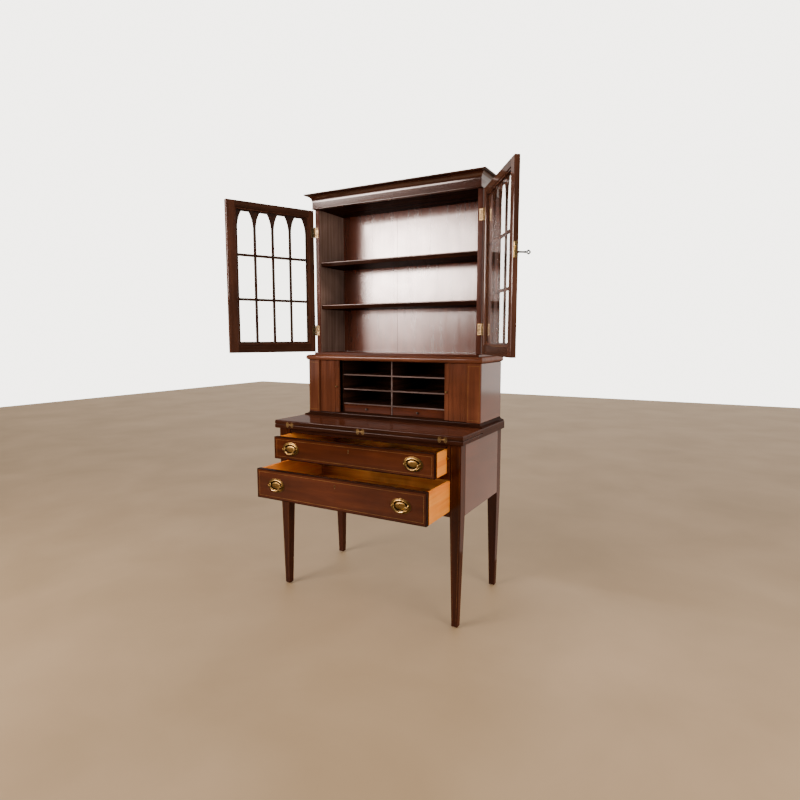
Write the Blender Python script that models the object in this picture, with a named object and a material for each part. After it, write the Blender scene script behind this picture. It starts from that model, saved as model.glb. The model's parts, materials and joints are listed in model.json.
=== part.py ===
"""Secretary bookcase: a glazed bookcase on a tambour desk with a fold-over writing leaf.

Lengths are metres. X runs to the right as seen from the front, the front faces -Y and +Z is up.
The doors stand open, both long drawers are part pulled, the tambours are pushed back, the writing
leaf is folded shut, the bails hang down and the lopers and small drawers are pushed in.
Each moving piece is drawn closed and rides on an empty that sits on its joint's axis.
"""
import math

import bmesh
import bpy
from mathutils import Vector
from mathutils.geometry import tessellate_polygon

# Clearances
GAP = 0.0003              # between pieces that touch
RUN = 0.0015              # round pieces that slide or swing
WELD = 1e-6               # corners nearer than this are one corner
ROOT = 0.0012             # how far a joined piece runs into its neighbour

# Lower case
BASE_WIDTH = 0.891        # over the posts; the stages above follow it
BASE_DEPTH = 0.471        # front face of the posts to the back
POST = 0.045              # square post above the taper
FOOT = 0.026              # square foot of the tapered leg
FOOT_LEAN = 0.004         # front or back face leans in by this much at the foot
FOOT_LEAN_SIDE = 0.0095   # and the outer side by this much
APRON_BOTTOM = 0.451      # floor to the underside of the case
BOTTOM_RAIL = 0.022
LOWER_OPENING = 0.1265
MID_RAIL = 0.024
UPPER_OPENING = 0.098
TOP_RAIL = 0.0185
RAIL_DEPTH = 0.042
DUST_PANEL = 0.009
SIDE_PANEL = 0.016
BACK_PANEL = 0.010

# Writing surface
TOP_BOARD = 0.018         # bed, leaf and rear top alike
TOP_ROUND = 0.004
TOP_SIDE = 0.0140         # overhang at the sides
TOP_FRONT = 0.016         # overhang at the front
REAR_LEDGE = 0.004        # rear top showing in front of the base moulding
LEAF_GAP = 0.0008         # leaf's back edge to the rear top
LEAF_HINGE_IN = 0.0715    # outer hinges from the posts' outer faces
LEAF_HINGE_LENGTH = 0.040
LEAF_HINGE_WIDTH = 0.0135
LEAF_HINGE_PLATE = 0.0012
LEAF_HINGE_RADIUS = 0.0018
LEAF_HINGE_OUT = 0.0006   # hinge axis in front of the edge

# Long drawers and lopers
DRAWER_FRONT = 0.020
DRAWER_SIDE = 0.011
DRAWER_FLOOR = 0.008
DRAWER_DROP = 0.003       # sides lower than the front
DRAWER_BACK_ROOM = 0.014  # behind a closed drawer
UPPER_PULLED = 0.107
LOWER_PULLED = 0.203
LOPER = 0.0125
LOPER_LENGTH = 0.380
LOPER_KNOB_UP = 0.061     # above the loper's foot

# Drawer pulls
PULL_IN = 0.1505          # middle of a pull from the posts' outer faces
PLATE_WIDTH = 0.085
PLATE_HEIGHT = 0.058
PLATE_RIM = 0.0012
PLATE_CROWN = 0.0010
PLATE_SHOULDER = 0.004    # width of the rounded border
POST_SPREAD = 0.062       # between the two pull posts
POST_RADIUS = 0.0036
POST_HEAD = 0.0150        # front of a post from the drawer
PIVOT_OUT = 0.0110        # bail axis from the drawer
BAIL_RADIUS = 0.0024
BAIL_DROP = 0.0205
BAIL_END = 0.0020         # straight pivot at each end of the bail

# Tambour case
CASE_STEP = 0.0060        # case sides within the posts' outer faces
CASE_DEPTH = 0.258
BASE_MOULDING = 0.0165
BASE_MOULDING_OUT = 0.0165
BASE_NOSE = 0.0045        # square nose under the cove
TAMBOUR_HEIGHT = 0.2477
CASE_SIDE = 0.018
PILASTER = 0.060
PILASTER_THICK = 0.0085
TAMBOUR_SHOWN = 0.167     # lead edge from the case side when pushed back
LEAD_STILE = 0.022
LEAD_THICK = 0.013
SLAT_THICK = 0.008
SLATS = 12
FOLD_ROOM = 0.0155        # where the slats turn back along the case side
REED = 0.0012             # depth of the grooves between slats
PIGEON_IN = 0.169         # pigeonhole unit within the case sides
PIGEON_SET_BACK = 0.036
PIGEON_WALL = 0.008
PIGEON_SHELF = 0.007
PIGEON_SKIN = 0.003       # floor and ceiling of the unit
PIGEON_ROWS = 3
SMALL_OPENING = 0.036     # height of the small drawers' cells
SMALL_FRONT = 0.010
SMALL_WALL = 0.006
SMALL_FLOOR = 0.004
SMALL_BACK_ROOM = 0.020

# Waist and bookcase
WAIST_BOARD = 0.0250
WAIST_OUT = 0.009
WAIST_NOSE = 0.0125       # radius of the rounded edge
BOOK_PLINTH = 0.011
BOOK_STEP = 0.0185        # bookcase sides within the tambour case's sides
BOOK_DEPTH = 0.214
BOOK_HEIGHT = 0.669       # plinth to frieze, the height of the doorway
BOOK_SIDE = 0.022
SHELF = 0.0195
SHELF_SET_BACK = 0.010
LOWER_SHELF_UP = 0.2262   # shelf tops above the plinth
UPPER_SHELF_UP = 0.4270
FRIEZE = 0.030
COVE = 0.030
CORNICE_FILLET = 0.006
CORNICE_OUT = 0.028
COVE_STEP = 0.003         # fillet standing beyond the cove
CORNICE_WALL = 0.016
CORNICE_FLOOR = 0.012

# Doors
DOOR_THICK = 0.020
DOOR_GAP = 0.0008         # door's back to the case's front edges
MEETING_GAP = 0.0010      # half the gap between the doors
HINGE_STILE = 0.028
LOCK_STILE = 0.040
DOOR_TOP_RAIL = 0.030
DOOR_BOTTOM_RAIL = 0.038
LATTICE = 0.008           # thickness of the front lattice
LATTICE_BORDER = 0.012
MUNTIN = 0.010
PANE_COLUMNS = 4
PANE_ROWS = 3
ARCH_RISE = 0.074
ARCH_FLAT = 0.036         # level top of an arched pane
GLASS = 0.003
LEFT_OPEN = 116.1         # degrees from shut
RIGHT_OPEN = 123.6

# Door hinges and lock
HINGE_LENGTH = 0.046
HINGE_FROM_END = 0.102    # hinge middle from the door's top and bottom
HINGE_WIDTH = 0.016
HINGE_PLATE = 0.0016
HINGE_RADIUS = 0.0030
HINGE_OUT = 0.0034        # hinge axis outside the case side
LOCK_UP = 0.355           # key axis above the door's foot
SELVAGE_LENGTH = 0.054
SELVAGE_WIDTH = 0.011
SELVAGE_THICK = 0.0020
LOCK_BODY = 0.040
LOCK_BODY_DEEP = 0.026
LOCK_BODY_THICK = 0.009
BOLT_HEIGHT = 0.014
BOLT_THICK = 0.005
BOLT_LENGTH = 0.014
BACKSET = 0.017           # key axis from the meeting edge
BOLT_ABOVE_KEY = 0.0125   # bolt's middle over the key axis
BOLT_THROW = 0.008
KEY_SHANK = 0.0024
KEY_HOLE = 0.0060         # radius of the way through for shank and bit
KEY_OUT = 0.040           # key standing out of the door
KEY_BOW = 0.0085
KEY_BOW_THICK = 0.0038
KEY_BIT = 0.0052
KEY_BIT_THICK = 0.0016

# Small turned knobs
KNOB_RADIUS = 0.0050
KNOB_OUT = 0.0090
KNOB_NECK = 0.0026
KNOB_PROFILE = ((0.90, 0.50), (1.00, 0.70), (0.75, 0.93), (0.30, 1.00))  # of radius and reach
KNOB_NECK_END = 0.35      # of the reach

# Facets of round forms
ROUND = 16
ARC = 5
SMOOTH = math.radians(35)  # edges flatter than this are shaded smooth

# Levels and planes worked out from the sizes above
BASE_HALF = BASE_WIDTH / 2
INNER = BASE_HALF - POST
LOWER_Z = APRON_BOTTOM + BOTTOM_RAIL
UPPER_Z = LOWER_Z + LOWER_OPENING + MID_RAIL
TOP_RAIL_Z = UPPER_Z + UPPER_OPENING
BED_Z = TOP_RAIL_Z + TOP_RAIL
LEAF_Z = BED_Z + TOP_BOARD + GAP
MOULDING_Z = LEAF_Z + TOP_BOARD + GAP
CASE_Z = MOULDING_Z + BASE_MOULDING
WAIST_Z = CASE_Z + TAMBOUR_HEIGHT
BOOK_Z = WAIST_Z + WAIST_BOARD + BOOK_PLINTH
FRIEZE_Z = BOOK_Z + BOOK_HEIGHT
CASE_HALF = BASE_HALF - CASE_STEP
BOOK_HALF = CASE_HALF - BOOK_STEP
TAMBOUR_OPEN = CASE_HALF - TAMBOUR_SHOWN
PIGEON_HALF = CASE_HALF - PIGEON_IN
LEAF_HINGE_X = BASE_HALF - LEAF_HINGE_IN
PULL_X = BASE_HALF - PULL_IN
FRONT = -BASE_DEPTH
TOP_HALF = BASE_HALF + TOP_SIDE
TOP_FRONT_Y = FRONT - TOP_FRONT
REAR_TOP_Y = -(CASE_DEPTH + BASE_MOULDING_OUT + REAR_LEDGE)
LEAF_AXIS = Vector((0.0, TOP_FRONT_Y - LEAF_HINGE_OUT, LEAF_Z - GAP / 2))
LOPER_INNER = INNER - RUN - LOPER
DOOR_AXIS_X = BOOK_HALF + HINGE_OUT
DOOR_AXIS_Y = -(BOOK_DEPTH + DOOR_GAP / 2)
DOOR_FRONT_Y = -(BOOK_DEPTH + DOOR_GAP + DOOR_THICK)
DOOR_Z = BOOK_Z + RUN
DOOR_TOP_Z = FRIEZE_Z - RUN


def clear_scene():
    """Remove every object that the file opened with."""
    for obj in list(bpy.data.objects):
        bpy.data.objects.remove(obj, do_unlink=True)


def finish(name, colour, roughness, metallic=0.0, alpha=1.0):
    """Principled material of one colour."""
    made = bpy.data.materials.new(name)
    made.use_nodes = True
    shader = made.node_tree.nodes["Principled BSDF"]
    shader.inputs["Base Color"].default_value = (*colour, 1.0)
    shader.inputs["Roughness"].default_value = roughness
    shader.inputs["Metallic"].default_value = metallic
    shader.inputs["Alpha"].default_value = alpha
    return made


class Mover:
    """Empty on a joint's axis; its pieces are drawn shut and ride on it."""

    def __init__(self, name, home, parent=None, shift=(0, 0, 0), turn=0.0):
        self.home = Vector(home)
        self.empty = bpy.data.objects.new(name, None)
        bpy.context.collection.objects.link(self.empty)
        start = parent.home if parent else Vector((0, 0, 0))
        self.empty.parent = parent.empty if parent else None
        self.empty.location = self.home - start + Vector(shift)
        self.empty.rotation_euler = (0.0, 0.0, math.radians(turn))


def to_object(name, bm, mover, material=None):
    """Close the mesh, point its faces out and hang it on its mover."""
    bmesh.ops.remove_doubles(bm, verts=bm.verts, dist=WELD)
    bmesh.ops.recalc_face_normals(bm, faces=bm.faces)
    bmesh.ops.translate(bm, verts=bm.verts, vec=-mover.home)
    mesh = bpy.data.meshes.new(name)
    bm.to_mesh(mesh)
    bm.free()
    obj = bpy.data.objects.new(name, mesh)
    bpy.context.collection.objects.link(obj)
    obj.parent = mover.empty
    if material:
        mesh.materials.append(material)
        mesh.shade_smooth()
        mesh.set_sharp_from_angle(angle=SMOOTH)
    return obj


def combine(obj, bm, mover, operation):
    """Cut the mesh from an object, or join it on, through a hidden helper."""
    helper = to_object(f"{obj.name}_helper_{len(obj.modifiers)}", bm, mover)
    helper.hide_render = True
    helper.display_type = "WIRE"
    modifier = obj.modifiers.new(operation.lower(), "BOOLEAN")
    modifier.operation = operation
    modifier.solver = "EXACT"
    modifier.object = helper


def place(u, v, depth, along):
    """Point at a depth along one axis, with u and v on the other two in x, y, z order."""
    return {"x": (depth, u, v), "y": (u, depth, v), "z": (u, v, depth)}[along]


def fill(bm, loops, depth, along):
    """Flat face inside the first loop and outside the others."""
    flat = [[Vector((u, v, 0.0)) for u, v in loop] for loop in loops]
    corners = [bm.verts.new(place(p.x, p.y, depth, along)) for loop in flat for p in loop]
    for triangle in tessellate_polygon(flat):
        bm.faces.new([corners[index] for index in triangle])


def wall(bm, loop, low, high, along):
    """Band of faces round a loop between two depths."""
    rings = [[bm.verts.new(place(u, v, depth, along)) for u, v in loop] for depth in (low, high)]
    skin(bm, rings)


def skin(bm, rings):
    """Faces between rings of equally many corners."""
    count = len(rings[0])
    for first, second in zip(rings, rings[1:]):
        for index in range(count):
            after = (index + 1) % count
            bm.faces.new((first[index], first[after], second[after], second[index]))


def prism(outline, along, low, high, holes=()):
    """Closed solid of one outline, with holes right through."""
    return prisms([[outline, *holes]], along, low, high)


def prisms(outlines, along, low, high):
    """Separate closed solids side by side, each from its outline and any holes."""
    bm = bmesh.new()
    for loops in outlines:
        for depth in (low, high):
            fill(bm, loops, depth, along)
        for loop in loops:
            wall(bm, loop, low, high, along)
    return bm


def rectangle(u0, v0, u1, v1):
    """Four corners of a rectangle."""
    return [(u0, v0), (u1, v0), (u1, v1), (u0, v1)]


def box(x0, x1, y0, y1, z0, z1):
    """Closed block between two corners."""
    return prism(rectangle(min(x0, x1), min(y0, y1), max(x0, x1), max(y0, y1)), "z", z0, z1)


def loft(sections):
    """Closed solid through sections of equally many points."""
    bm = bmesh.new()
    rings = [[bm.verts.new(point) for point in section] for section in sections]
    skin(bm, rings)
    bm.faces.new(rings[0])
    bm.faces.new(rings[-1])
    return bm


def moulded_board(half, front, back, stations):
    """Board whose sides and front follow stations of (z, side growth, front growth)."""
    sections = []
    for z, side, ahead in stations:
        corners = rectangle(-half - side, front - ahead, half + side, back)
        sections.append([(x, y, z) for x, y in corners])
    return loft(sections)


def eased_edge(low, high, radius, front=1.0):
    """Stations of a board edge with both arrises rounded."""
    stations = []
    for level, turn in ((low + radius, -1), (high - radius, 1)):
        for step in range(ARC + 1):
            angle = math.radians(90) * (step if turn > 0 else ARC - step) / ARC
            inset = radius * (math.cos(angle) - 1)
            stations.append((level + turn * radius * math.sin(angle), inset, inset * front))
    return stations


def turned(profile, centre, along):
    """Solid turned round an axis; the profile holds (radius, place along the axis)."""
    sections = []
    for radius, depth in profile:
        ring = [(centre[0] + radius * math.cos(turn), centre[1] + radius * math.sin(turn))
                for turn in (math.tau * step / ROUND for step in range(ROUND))]
        sections.append([place(u, v, depth, along) for u, v in ring])
    return loft(sections)


def knob(x, face, z):
    """Small turned knob that stands out of a face towards the front."""
    profile = [(KNOB_NECK, face + ROOT), (KNOB_NECK, face - KNOB_NECK_END * KNOB_OUT)]
    profile += [(KNOB_RADIUS * wide, face - KNOB_OUT * out) for wide, out in KNOB_PROFILE]
    return turned(profile, (x, z), "y")


def build_legs(case, wood):
    """Four posts that run on down as legs, tapered on all faces."""
    for side, hand in ((-1, "left"), (1, "right")):
        for edge, inward, end in ((FRONT, 1, "front"), (0.0, -1, "back")):
            sections = []
            levels = ((0.0, FOOT, FOOT_LEAN_SIDE, FOOT_LEAN), (APRON_BOTTOM, POST, 0.0, 0.0),
                      (BED_Z - GAP, POST, 0.0, 0.0))
            for z, size, lean_side, lean in levels:
                outer_x, outer_y = side * (BASE_HALF - lean_side), edge + inward * lean
                corners = rectangle(outer_x, outer_y, outer_x - side * size, outer_y + inward * size)
                sections.append([(x, y, z) for x, y in corners])
            to_object(f"leg_{end}_{hand}", loft(sections), case, wood)


def dust_frame(top, rail):
    """Front rail with a thin dust panel behind it, level at the top."""
    back = -(BACK_PANEL + GAP)
    rail_back = FRONT + RAIL_DEPTH
    outline = [(FRONT, top - rail), (rail_back, top - rail), (rail_back, top - DUST_PANEL),
               (back, top - DUST_PANEL), (back, top), (FRONT, top)]
    return prism(outline, "x", -(INNER - GAP), INNER - GAP)


def build_base(case, woods):
    """Side and back panels, drawer frames, writing bed and rear top."""
    panel_ends = (FRONT + POST + GAP, -(POST + GAP))
    for side, hand in ((-1, "left"), (1, "right")):
        panel = box(side * BASE_HALF, side * (BASE_HALF - SIDE_PANEL), *panel_ends, APRON_BOTTOM,
                    BED_Z - GAP)
        to_object(f"side_panel_{hand}", panel, case, woods["mahogany"])
    back = box(-(INNER - GAP), INNER - GAP, -BACK_PANEL, 0.0, APRON_BOTTOM, BED_Z - GAP)
    to_object("base_back_panel", back, case, woods["inside"])
    to_object("drawer_divider", dust_frame(UPPER_Z, MID_RAIL), case, woods["mahogany"])
    to_object("bottom_frame", dust_frame(LOWER_Z, BOTTOM_RAIL), case, woods["mahogany"])

    stations = eased_edge(BED_Z, BED_Z + TOP_BOARD, TOP_ROUND)
    bed = to_object("writing_bed", moulded_board(TOP_HALF, TOP_FRONT_Y, 0.0, stations), case,
                    woods["mahogany"])
    rail_half = LOPER_INNER - RUN
    rail = box(-rail_half, rail_half, FRONT, FRONT + RAIL_DEPTH, TOP_RAIL_Z, BED_Z + TOP_BOARD / 2)
    combine(bed, rail, case, "UNION")
    stations = eased_edge(LEAF_Z, LEAF_Z + TOP_BOARD, TOP_ROUND, front=0.0)
    rear_top = moulded_board(TOP_HALF, REAR_TOP_Y, 0.0, stations)
    to_object("rear_top", rear_top, case, woods["mahogany"])
    return bed


def build_leaf(case, bed, woods):
    """Fold-over writing leaf and the three butt hinges let into the front edges."""
    mover = Mover("writing_leaf_hinge", LEAF_AXIS, case)
    stations = eased_edge(LEAF_Z, LEAF_Z + TOP_BOARD, TOP_ROUND)
    board = moulded_board(TOP_HALF, TOP_FRONT_Y, REAR_TOP_Y - LEAF_GAP, stations)
    leaf = to_object("writing_leaf", board, mover, woods["mahogany"])
    reach = LEAF_HINGE_LENGTH / 2
    sunk = TOP_FRONT_Y + LEAF_HINGE_PLATE
    places = {"left": -LEAF_HINGE_X, "middle": 0.0, "right": LEAF_HINGE_X}
    for hand, middle in places.items():
        pocket_x = (middle - reach - GAP, middle + reach + GAP)
        ahead = TOP_FRONT_Y - TOP_BOARD
        low, high = (LEAF_AXIS.z - LEAF_HINGE_WIDTH - GAP, LEAF_AXIS.z + LEAF_HINGE_WIDTH + GAP)
        combine(bed, box(*pocket_x, ahead, sunk + GAP, low, LEAF_Z), case, "DIFFERENCE")
        combine(leaf, box(*pocket_x, ahead, sunk + GAP, BED_Z + TOP_BOARD, high), mover, "DIFFERENCE")
        plate = box(middle - reach, middle + reach, TOP_FRONT_Y, sunk,
                    LEAF_AXIS.z - LEAF_HINGE_WIDTH, LEAF_AXIS.z)
        hinge = to_object(f"leaf_hinge_{hand}", plate, case, woods["brass"])
        barrel = turned([(LEAF_HINGE_RADIUS, middle - reach), (LEAF_HINGE_RADIUS, middle + reach)],
                        (LEAF_AXIS.y, LEAF_AXIS.z), "x")
        combine(hinge, barrel, case, "UNION")


def build_pull(name, mover, x, z, woods):
    """Oval plate with two posts, and the bail that swings between them."""
    def oval(inset, y):
        turns = [math.tau * step / (2 * ROUND) for step in range(2 * ROUND)]
        wide, tall = PLATE_WIDTH / 2 - inset, PLATE_HEIGHT / 2 - inset
        return [(x + wide * math.cos(turn), y, z + tall * math.sin(turn)) for turn in turns]

    seat = FRONT - GAP
    crown = seat - PLATE_RIM - PLATE_CROWN
    plate = to_object(f"{name}_plate", loft([oval(0.0, seat), oval(0.0, seat - PLATE_RIM),
                                             oval(PLATE_SHOULDER, crown)]), mover, woods["brass"])
    for side in (-1, 1):
        centre = (x + side * POST_SPREAD / 2, z)
        post = turned([(POST_RADIUS, seat - PLATE_RIM / 2), (POST_RADIUS, FRONT - POST_HEAD)],
                      centre, "y")
        combine(plate, post, mover, "UNION")

    pivot = Mover(f"{name}_bail_pivot", (x, FRONT - PIVOT_OUT, z), mover)
    reach = POST_SPREAD / 2 - POST_RADIUS - GAP
    arm = reach - BAIL_END
    path = [Vector((-reach, 0.0, 0.0))]
    for step in range(ROUND + 1):
        turn = math.pi * step / ROUND
        path.append(Vector((-arm * math.cos(turn), 0.0, -BAIL_DROP * math.sin(turn))))
    path.append(Vector((reach, 0.0, 0.0)))
    to_object(f"{name}_bail", tube(path, BAIL_RADIUS, pivot.home), pivot, woods["brass"])


def tube(path, radius, origin):
    """Round bar along a path that lies in the XZ plane."""
    sections = []
    sides = ROUND // 2
    for index, point in enumerate(path):
        ahead = path[min(index + 1, len(path) - 1)]
        behind = path[max(index - 1, 0)]
        run = (ahead - behind).normalized()
        across = Vector((-run.z, 0.0, run.x))
        if index in (0, len(path) - 1):
            across = Vector((0.0, 0.0, 1.0))
        ring = []
        for step in range(sides):
            turn = math.tau * step / sides
            ring.append(origin + point + radius * (math.cos(turn) * across
                                                   + math.sin(turn) * Vector((0.0, 1.0, 0.0))))
        sections.append(ring)
    return loft(sections)


def build_long_drawer(name, case, level, opening, half, pulled, woods):
    """Drawer front, its box of sides, back and floor, and a pair of pulls."""
    mover = Mover(f"{name}_slide", (0.0, FRONT, level), case, shift=(0.0, -pulled, 0.0))
    foot, head = level + GAP, level + opening - RUN
    front_back = FRONT + DRAWER_FRONT
    to_object(f"{name}_front", box(-half, half, FRONT, front_back, foot, head), mover,
              woods["mahogany"])
    box_front = front_back + GAP
    box_back = -(BACK_PANEL + DRAWER_BACK_ROOM)
    body = to_object(f"{name}_box", box(-half, half, box_front, box_back, foot, head - DRAWER_DROP),
                     mover, woods["drawer"])
    inside = half - DRAWER_SIDE
    hollow = box(-inside, inside, FRONT, box_back - DRAWER_SIDE, foot + DRAWER_FLOOR, level + opening)
    combine(body, hollow, mover, "DIFFERENCE")
    for side, hand in ((-1, "left"), (1, "right")):
        build_pull(f"{name}_{hand}", mover, side * PULL_X, (foot + head) / 2, woods)


def build_drawers(case, woods):
    """Two long drawers, and the lopers that flank the upper one."""
    build_long_drawer("upper_drawer", case, UPPER_Z, UPPER_OPENING, LOPER_INNER - RUN,
                      UPPER_PULLED, woods)
    build_long_drawer("lower_drawer", case, LOWER_Z, LOWER_OPENING, INNER - RUN,
                      LOWER_PULLED, woods)
    for side, hand in ((-1, "left"), (1, "right")):
        middle = LOPER_INNER + LOPER / 2
        mover = Mover(f"loper_{hand}_slide", (side * middle, FRONT, UPPER_Z), case)
        bar = box(side * LOPER_INNER, side * (LOPER_INNER + LOPER), FRONT, FRONT + LOPER_LENGTH,
                  UPPER_Z + GAP, BED_Z - RUN)
        loper = to_object(f"loper_{hand}", bar, mover, woods["mahogany"])
        combine(loper, knob(side * middle, FRONT, UPPER_Z + LOPER_KNOB_UP), mover, "UNION")


def build_tambour_case(case, woods):
    """Moulded floor, sides with their pilasters, back and waist board."""
    stations = [(MOULDING_Z, BASE_MOULDING_OUT, BASE_MOULDING_OUT)]
    rise = BASE_MOULDING - BASE_NOSE
    for step in range(ARC + 1):
        turn = math.radians(90) * step / ARC
        out = BASE_MOULDING_OUT * (1 - math.sin(turn))
        stations.append((CASE_Z - rise * math.cos(turn), out, out))
    floor = moulded_board(CASE_HALF, -CASE_DEPTH, 0.0, stations)
    to_object("base_moulding", floor, case, woods["mahogany"])

    low, high = CASE_Z + GAP, WAIST_Z - GAP
    for side, hand in ((-1, "left"), (1, "right")):
        inner = CASE_HALF - CASE_SIDE
        edge = CASE_HALF - PILASTER
        behind = -CASE_DEPTH + PILASTER_THICK
        outline = [(CASE_HALF, 0.0), (CASE_HALF, -CASE_DEPTH), (edge, -CASE_DEPTH), (edge, behind),
                   (inner, behind), (inner, 0.0)]
        panel = prism([(side * x, y) for x, y in outline], "z", low, high)
        to_object(f"tambour_case_side_{hand}", panel, case, woods["mahogany"])
    back_half = CASE_HALF - CASE_SIDE - GAP
    to_object("tambour_case_back", box(-back_half, back_half, -BACK_PANEL, 0.0, low, high), case,
              woods["inside"])

    stations = []
    nose = min(WAIST_NOSE, WAIST_BOARD / 2)
    for z, side, ahead in eased_edge(WAIST_Z, WAIST_Z + WAIST_BOARD, nose):
        stations.append((z, side + WAIST_OUT, ahead + WAIST_OUT))
    plinth_side = BOOK_HALF - CASE_HALF
    plinth_front = -DOOR_FRONT_Y - CASE_DEPTH
    stations.append((WAIST_Z + WAIST_BOARD + GAP, plinth_side, plinth_front))
    stations.append((BOOK_Z, plinth_side, plinth_front))
    board = moulded_board(CASE_HALF, -CASE_DEPTH, 0.0, stations)
    to_object("waist_board", board, case, woods["mahogany"])


def build_tambours(case, woods):
    """Reeded tambour on each side: the straight run behind the pilaster, with its lead stile."""
    face = -(CASE_DEPTH - PILASTER_THICK - RUN)
    outer = CASE_HALF - CASE_SIDE - FOLD_ROOM
    stile = TAMBOUR_OPEN + LEAD_STILE
    pitch = (outer - stile) / SLATS
    for side, hand in ((-1, "left"), (1, "right")):
        outline = [(TAMBOUR_OPEN, face + LEAD_THICK), (TAMBOUR_OPEN, face), (stile, face)]
        for slat in range(SLATS):
            for step in range(ARC):
                share = step / ARC
                hollow = REED * (1 - math.sqrt(1 - (2 * share - 1) ** 2))
                ease = GAP if step == 0 else 0.0
                outline.append((stile + pitch * (slat + share) + ease, face + hollow))
        outline += [(outer, face + REED), (outer, face + SLAT_THICK), (stile, face + SLAT_THICK),
                    (stile, face + LEAD_THICK)]
        mover = Mover(f"tambour_{hand}_slide", (side * TAMBOUR_OPEN, face, CASE_Z), case)
        panel = prism([(side * x, y) for x, y in outline], "z", CASE_Z + RUN, WAIST_Z - RUN)
        tambour = to_object(f"tambour_{hand}", panel, mover, woods["tambour"])
        knob_x = side * (TAMBOUR_OPEN + LEAD_STILE / 2)
        combine(tambour, knob(knob_x, face, (CASE_Z + WAIST_Z) / 2), mover, "UNION")


def build_pigeonholes(case, woods):
    """Unit of six pigeonholes over two small drawers."""
    front = -(CASE_DEPTH - PIGEON_SET_BACK)
    back = -(BACK_PANEL + GAP)
    low, high = CASE_Z + GAP, WAIST_Z - GAP
    drawer_foot = low + PIGEON_SKIN
    first_row = drawer_foot + SMALL_OPENING + PIGEON_SHELF
    row = (high - PIGEON_SKIN - first_row + PIGEON_SHELF) / PIGEON_ROWS - PIGEON_SHELF
    near, far = PIGEON_SHELF / 2, PIGEON_HALF - PIGEON_WALL
    levels = [(drawer_foot, drawer_foot + SMALL_OPENING)]
    for index in range(PIGEON_ROWS):
        foot = first_row + index * (row + PIGEON_SHELF)
        levels.append((foot, foot + row))
    cells = [rectangle(min(side * near, side * far), foot, max(side * near, side * far), head)
             for side in (-1, 1) for foot, head in levels]
    outer = rectangle(-PIGEON_HALF, low, PIGEON_HALF, high)
    to_object("pigeonhole_unit", prism(outer, "y", front, back, cells), case, woods["inside"])

    foot, head = drawer_foot + GAP, drawer_foot + SMALL_OPENING - RUN
    deep = back - SMALL_BACK_ROOM
    for side, hand in ((-1, "left"), (1, "right")):
        inner, outer = side * (near + RUN), side * (far - RUN)
        middle = (inner + outer) / 2
        mover = Mover(f"small_drawer_{hand}_slide", (middle, front, foot), case)
        drawer = to_object(f"small_drawer_{hand}", box(inner, outer, front, deep, foot, head), mover,
                           woods["drawer"])
        hollow = box(inner + side * SMALL_WALL, outer - side * SMALL_WALL, front + SMALL_FRONT,
                     deep - SMALL_WALL, foot + SMALL_FLOOR, head + RUN)
        combine(drawer, hollow, mover, "DIFFERENCE")
        combine(drawer, knob(middle, front, (foot + head) / 2), mover, "UNION")


def build_bookcase(case, woods):
    """Carcass sides, back and shelves, and the cornice that caps them."""
    low, high = BOOK_Z + GAP, FRIEZE_Z - GAP
    sides = {}
    for side, hand in ((-1, "left"), (1, "right")):
        board = box(side * BOOK_HALF, side * (BOOK_HALF - BOOK_SIDE), -BOOK_DEPTH, 0.0, low, high)
        sides[hand] = to_object(f"bookcase_side_{hand}", board, case, woods["mahogany"])
    inside = BOOK_HALF - BOOK_SIDE - GAP
    to_object("bookcase_back", box(-inside, inside, -BACK_PANEL, 0.0, low, high), case,
              woods["mahogany"])
    for name, top in (("lower", BOOK_Z + LOWER_SHELF_UP), ("upper", BOOK_Z + UPPER_SHELF_UP)):
        shelf = box(-inside, inside, -BOOK_DEPTH + SHELF_SET_BACK, -(BACK_PANEL + GAP), top - SHELF, top)
        to_object(f"bookcase_shelf_{name}", shelf, case, woods["mahogany"])

    stations = [(FRIEZE_Z, 0.0, 0.0)]
    spring = FRIEZE_Z + FRIEZE
    for step in range(2 * ARC + 1):
        turn = math.radians(90) * step / (2 * ARC)
        out = (CORNICE_OUT - COVE_STEP) * (1 - math.cos(turn))
        stations.append((spring + COVE * math.sin(turn), out, out))
    top = spring + COVE + CORNICE_FILLET
    stations += [(spring + COVE + GAP, CORNICE_OUT, CORNICE_OUT), (top, CORNICE_OUT, CORNICE_OUT)]
    cornice = to_object("cornice", moulded_board(BOOK_HALF, DOOR_FRONT_Y, 0.0, stations), case,
                        woods["mahogany"])
    well = BOOK_HALF - CORNICE_WALL
    combine(cornice, box(-well, well, DOOR_FRONT_Y + CORNICE_WALL, -CORNICE_WALL,
                         FRIEZE_Z + CORNICE_FLOOR, top + CORNICE_FLOOR), case, "DIFFERENCE")
    return sides


def arched_pane(left, foot, right, head):
    """Pane whose top corners curve in, on circles that spring upright from the sides."""
    inset = (right - left - ARCH_FLAT) / 2
    radius = (ARCH_RISE ** 2 + inset ** 2) / (2 * inset)
    sweep = math.asin(ARCH_RISE / radius)
    curve = [(radius * (1 - math.cos(sweep * step / ARC)), radius * math.sin(sweep * step / ARC))
             for step in range(ARC + 1)]
    spring = head - ARCH_RISE
    rising = [(right - run, spring + rise) for run, rise in curve]
    falling = [(left + run, spring + rise) for run, rise in reversed(curve)]
    return [(left, foot), (right, foot), *rising, *falling]


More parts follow.
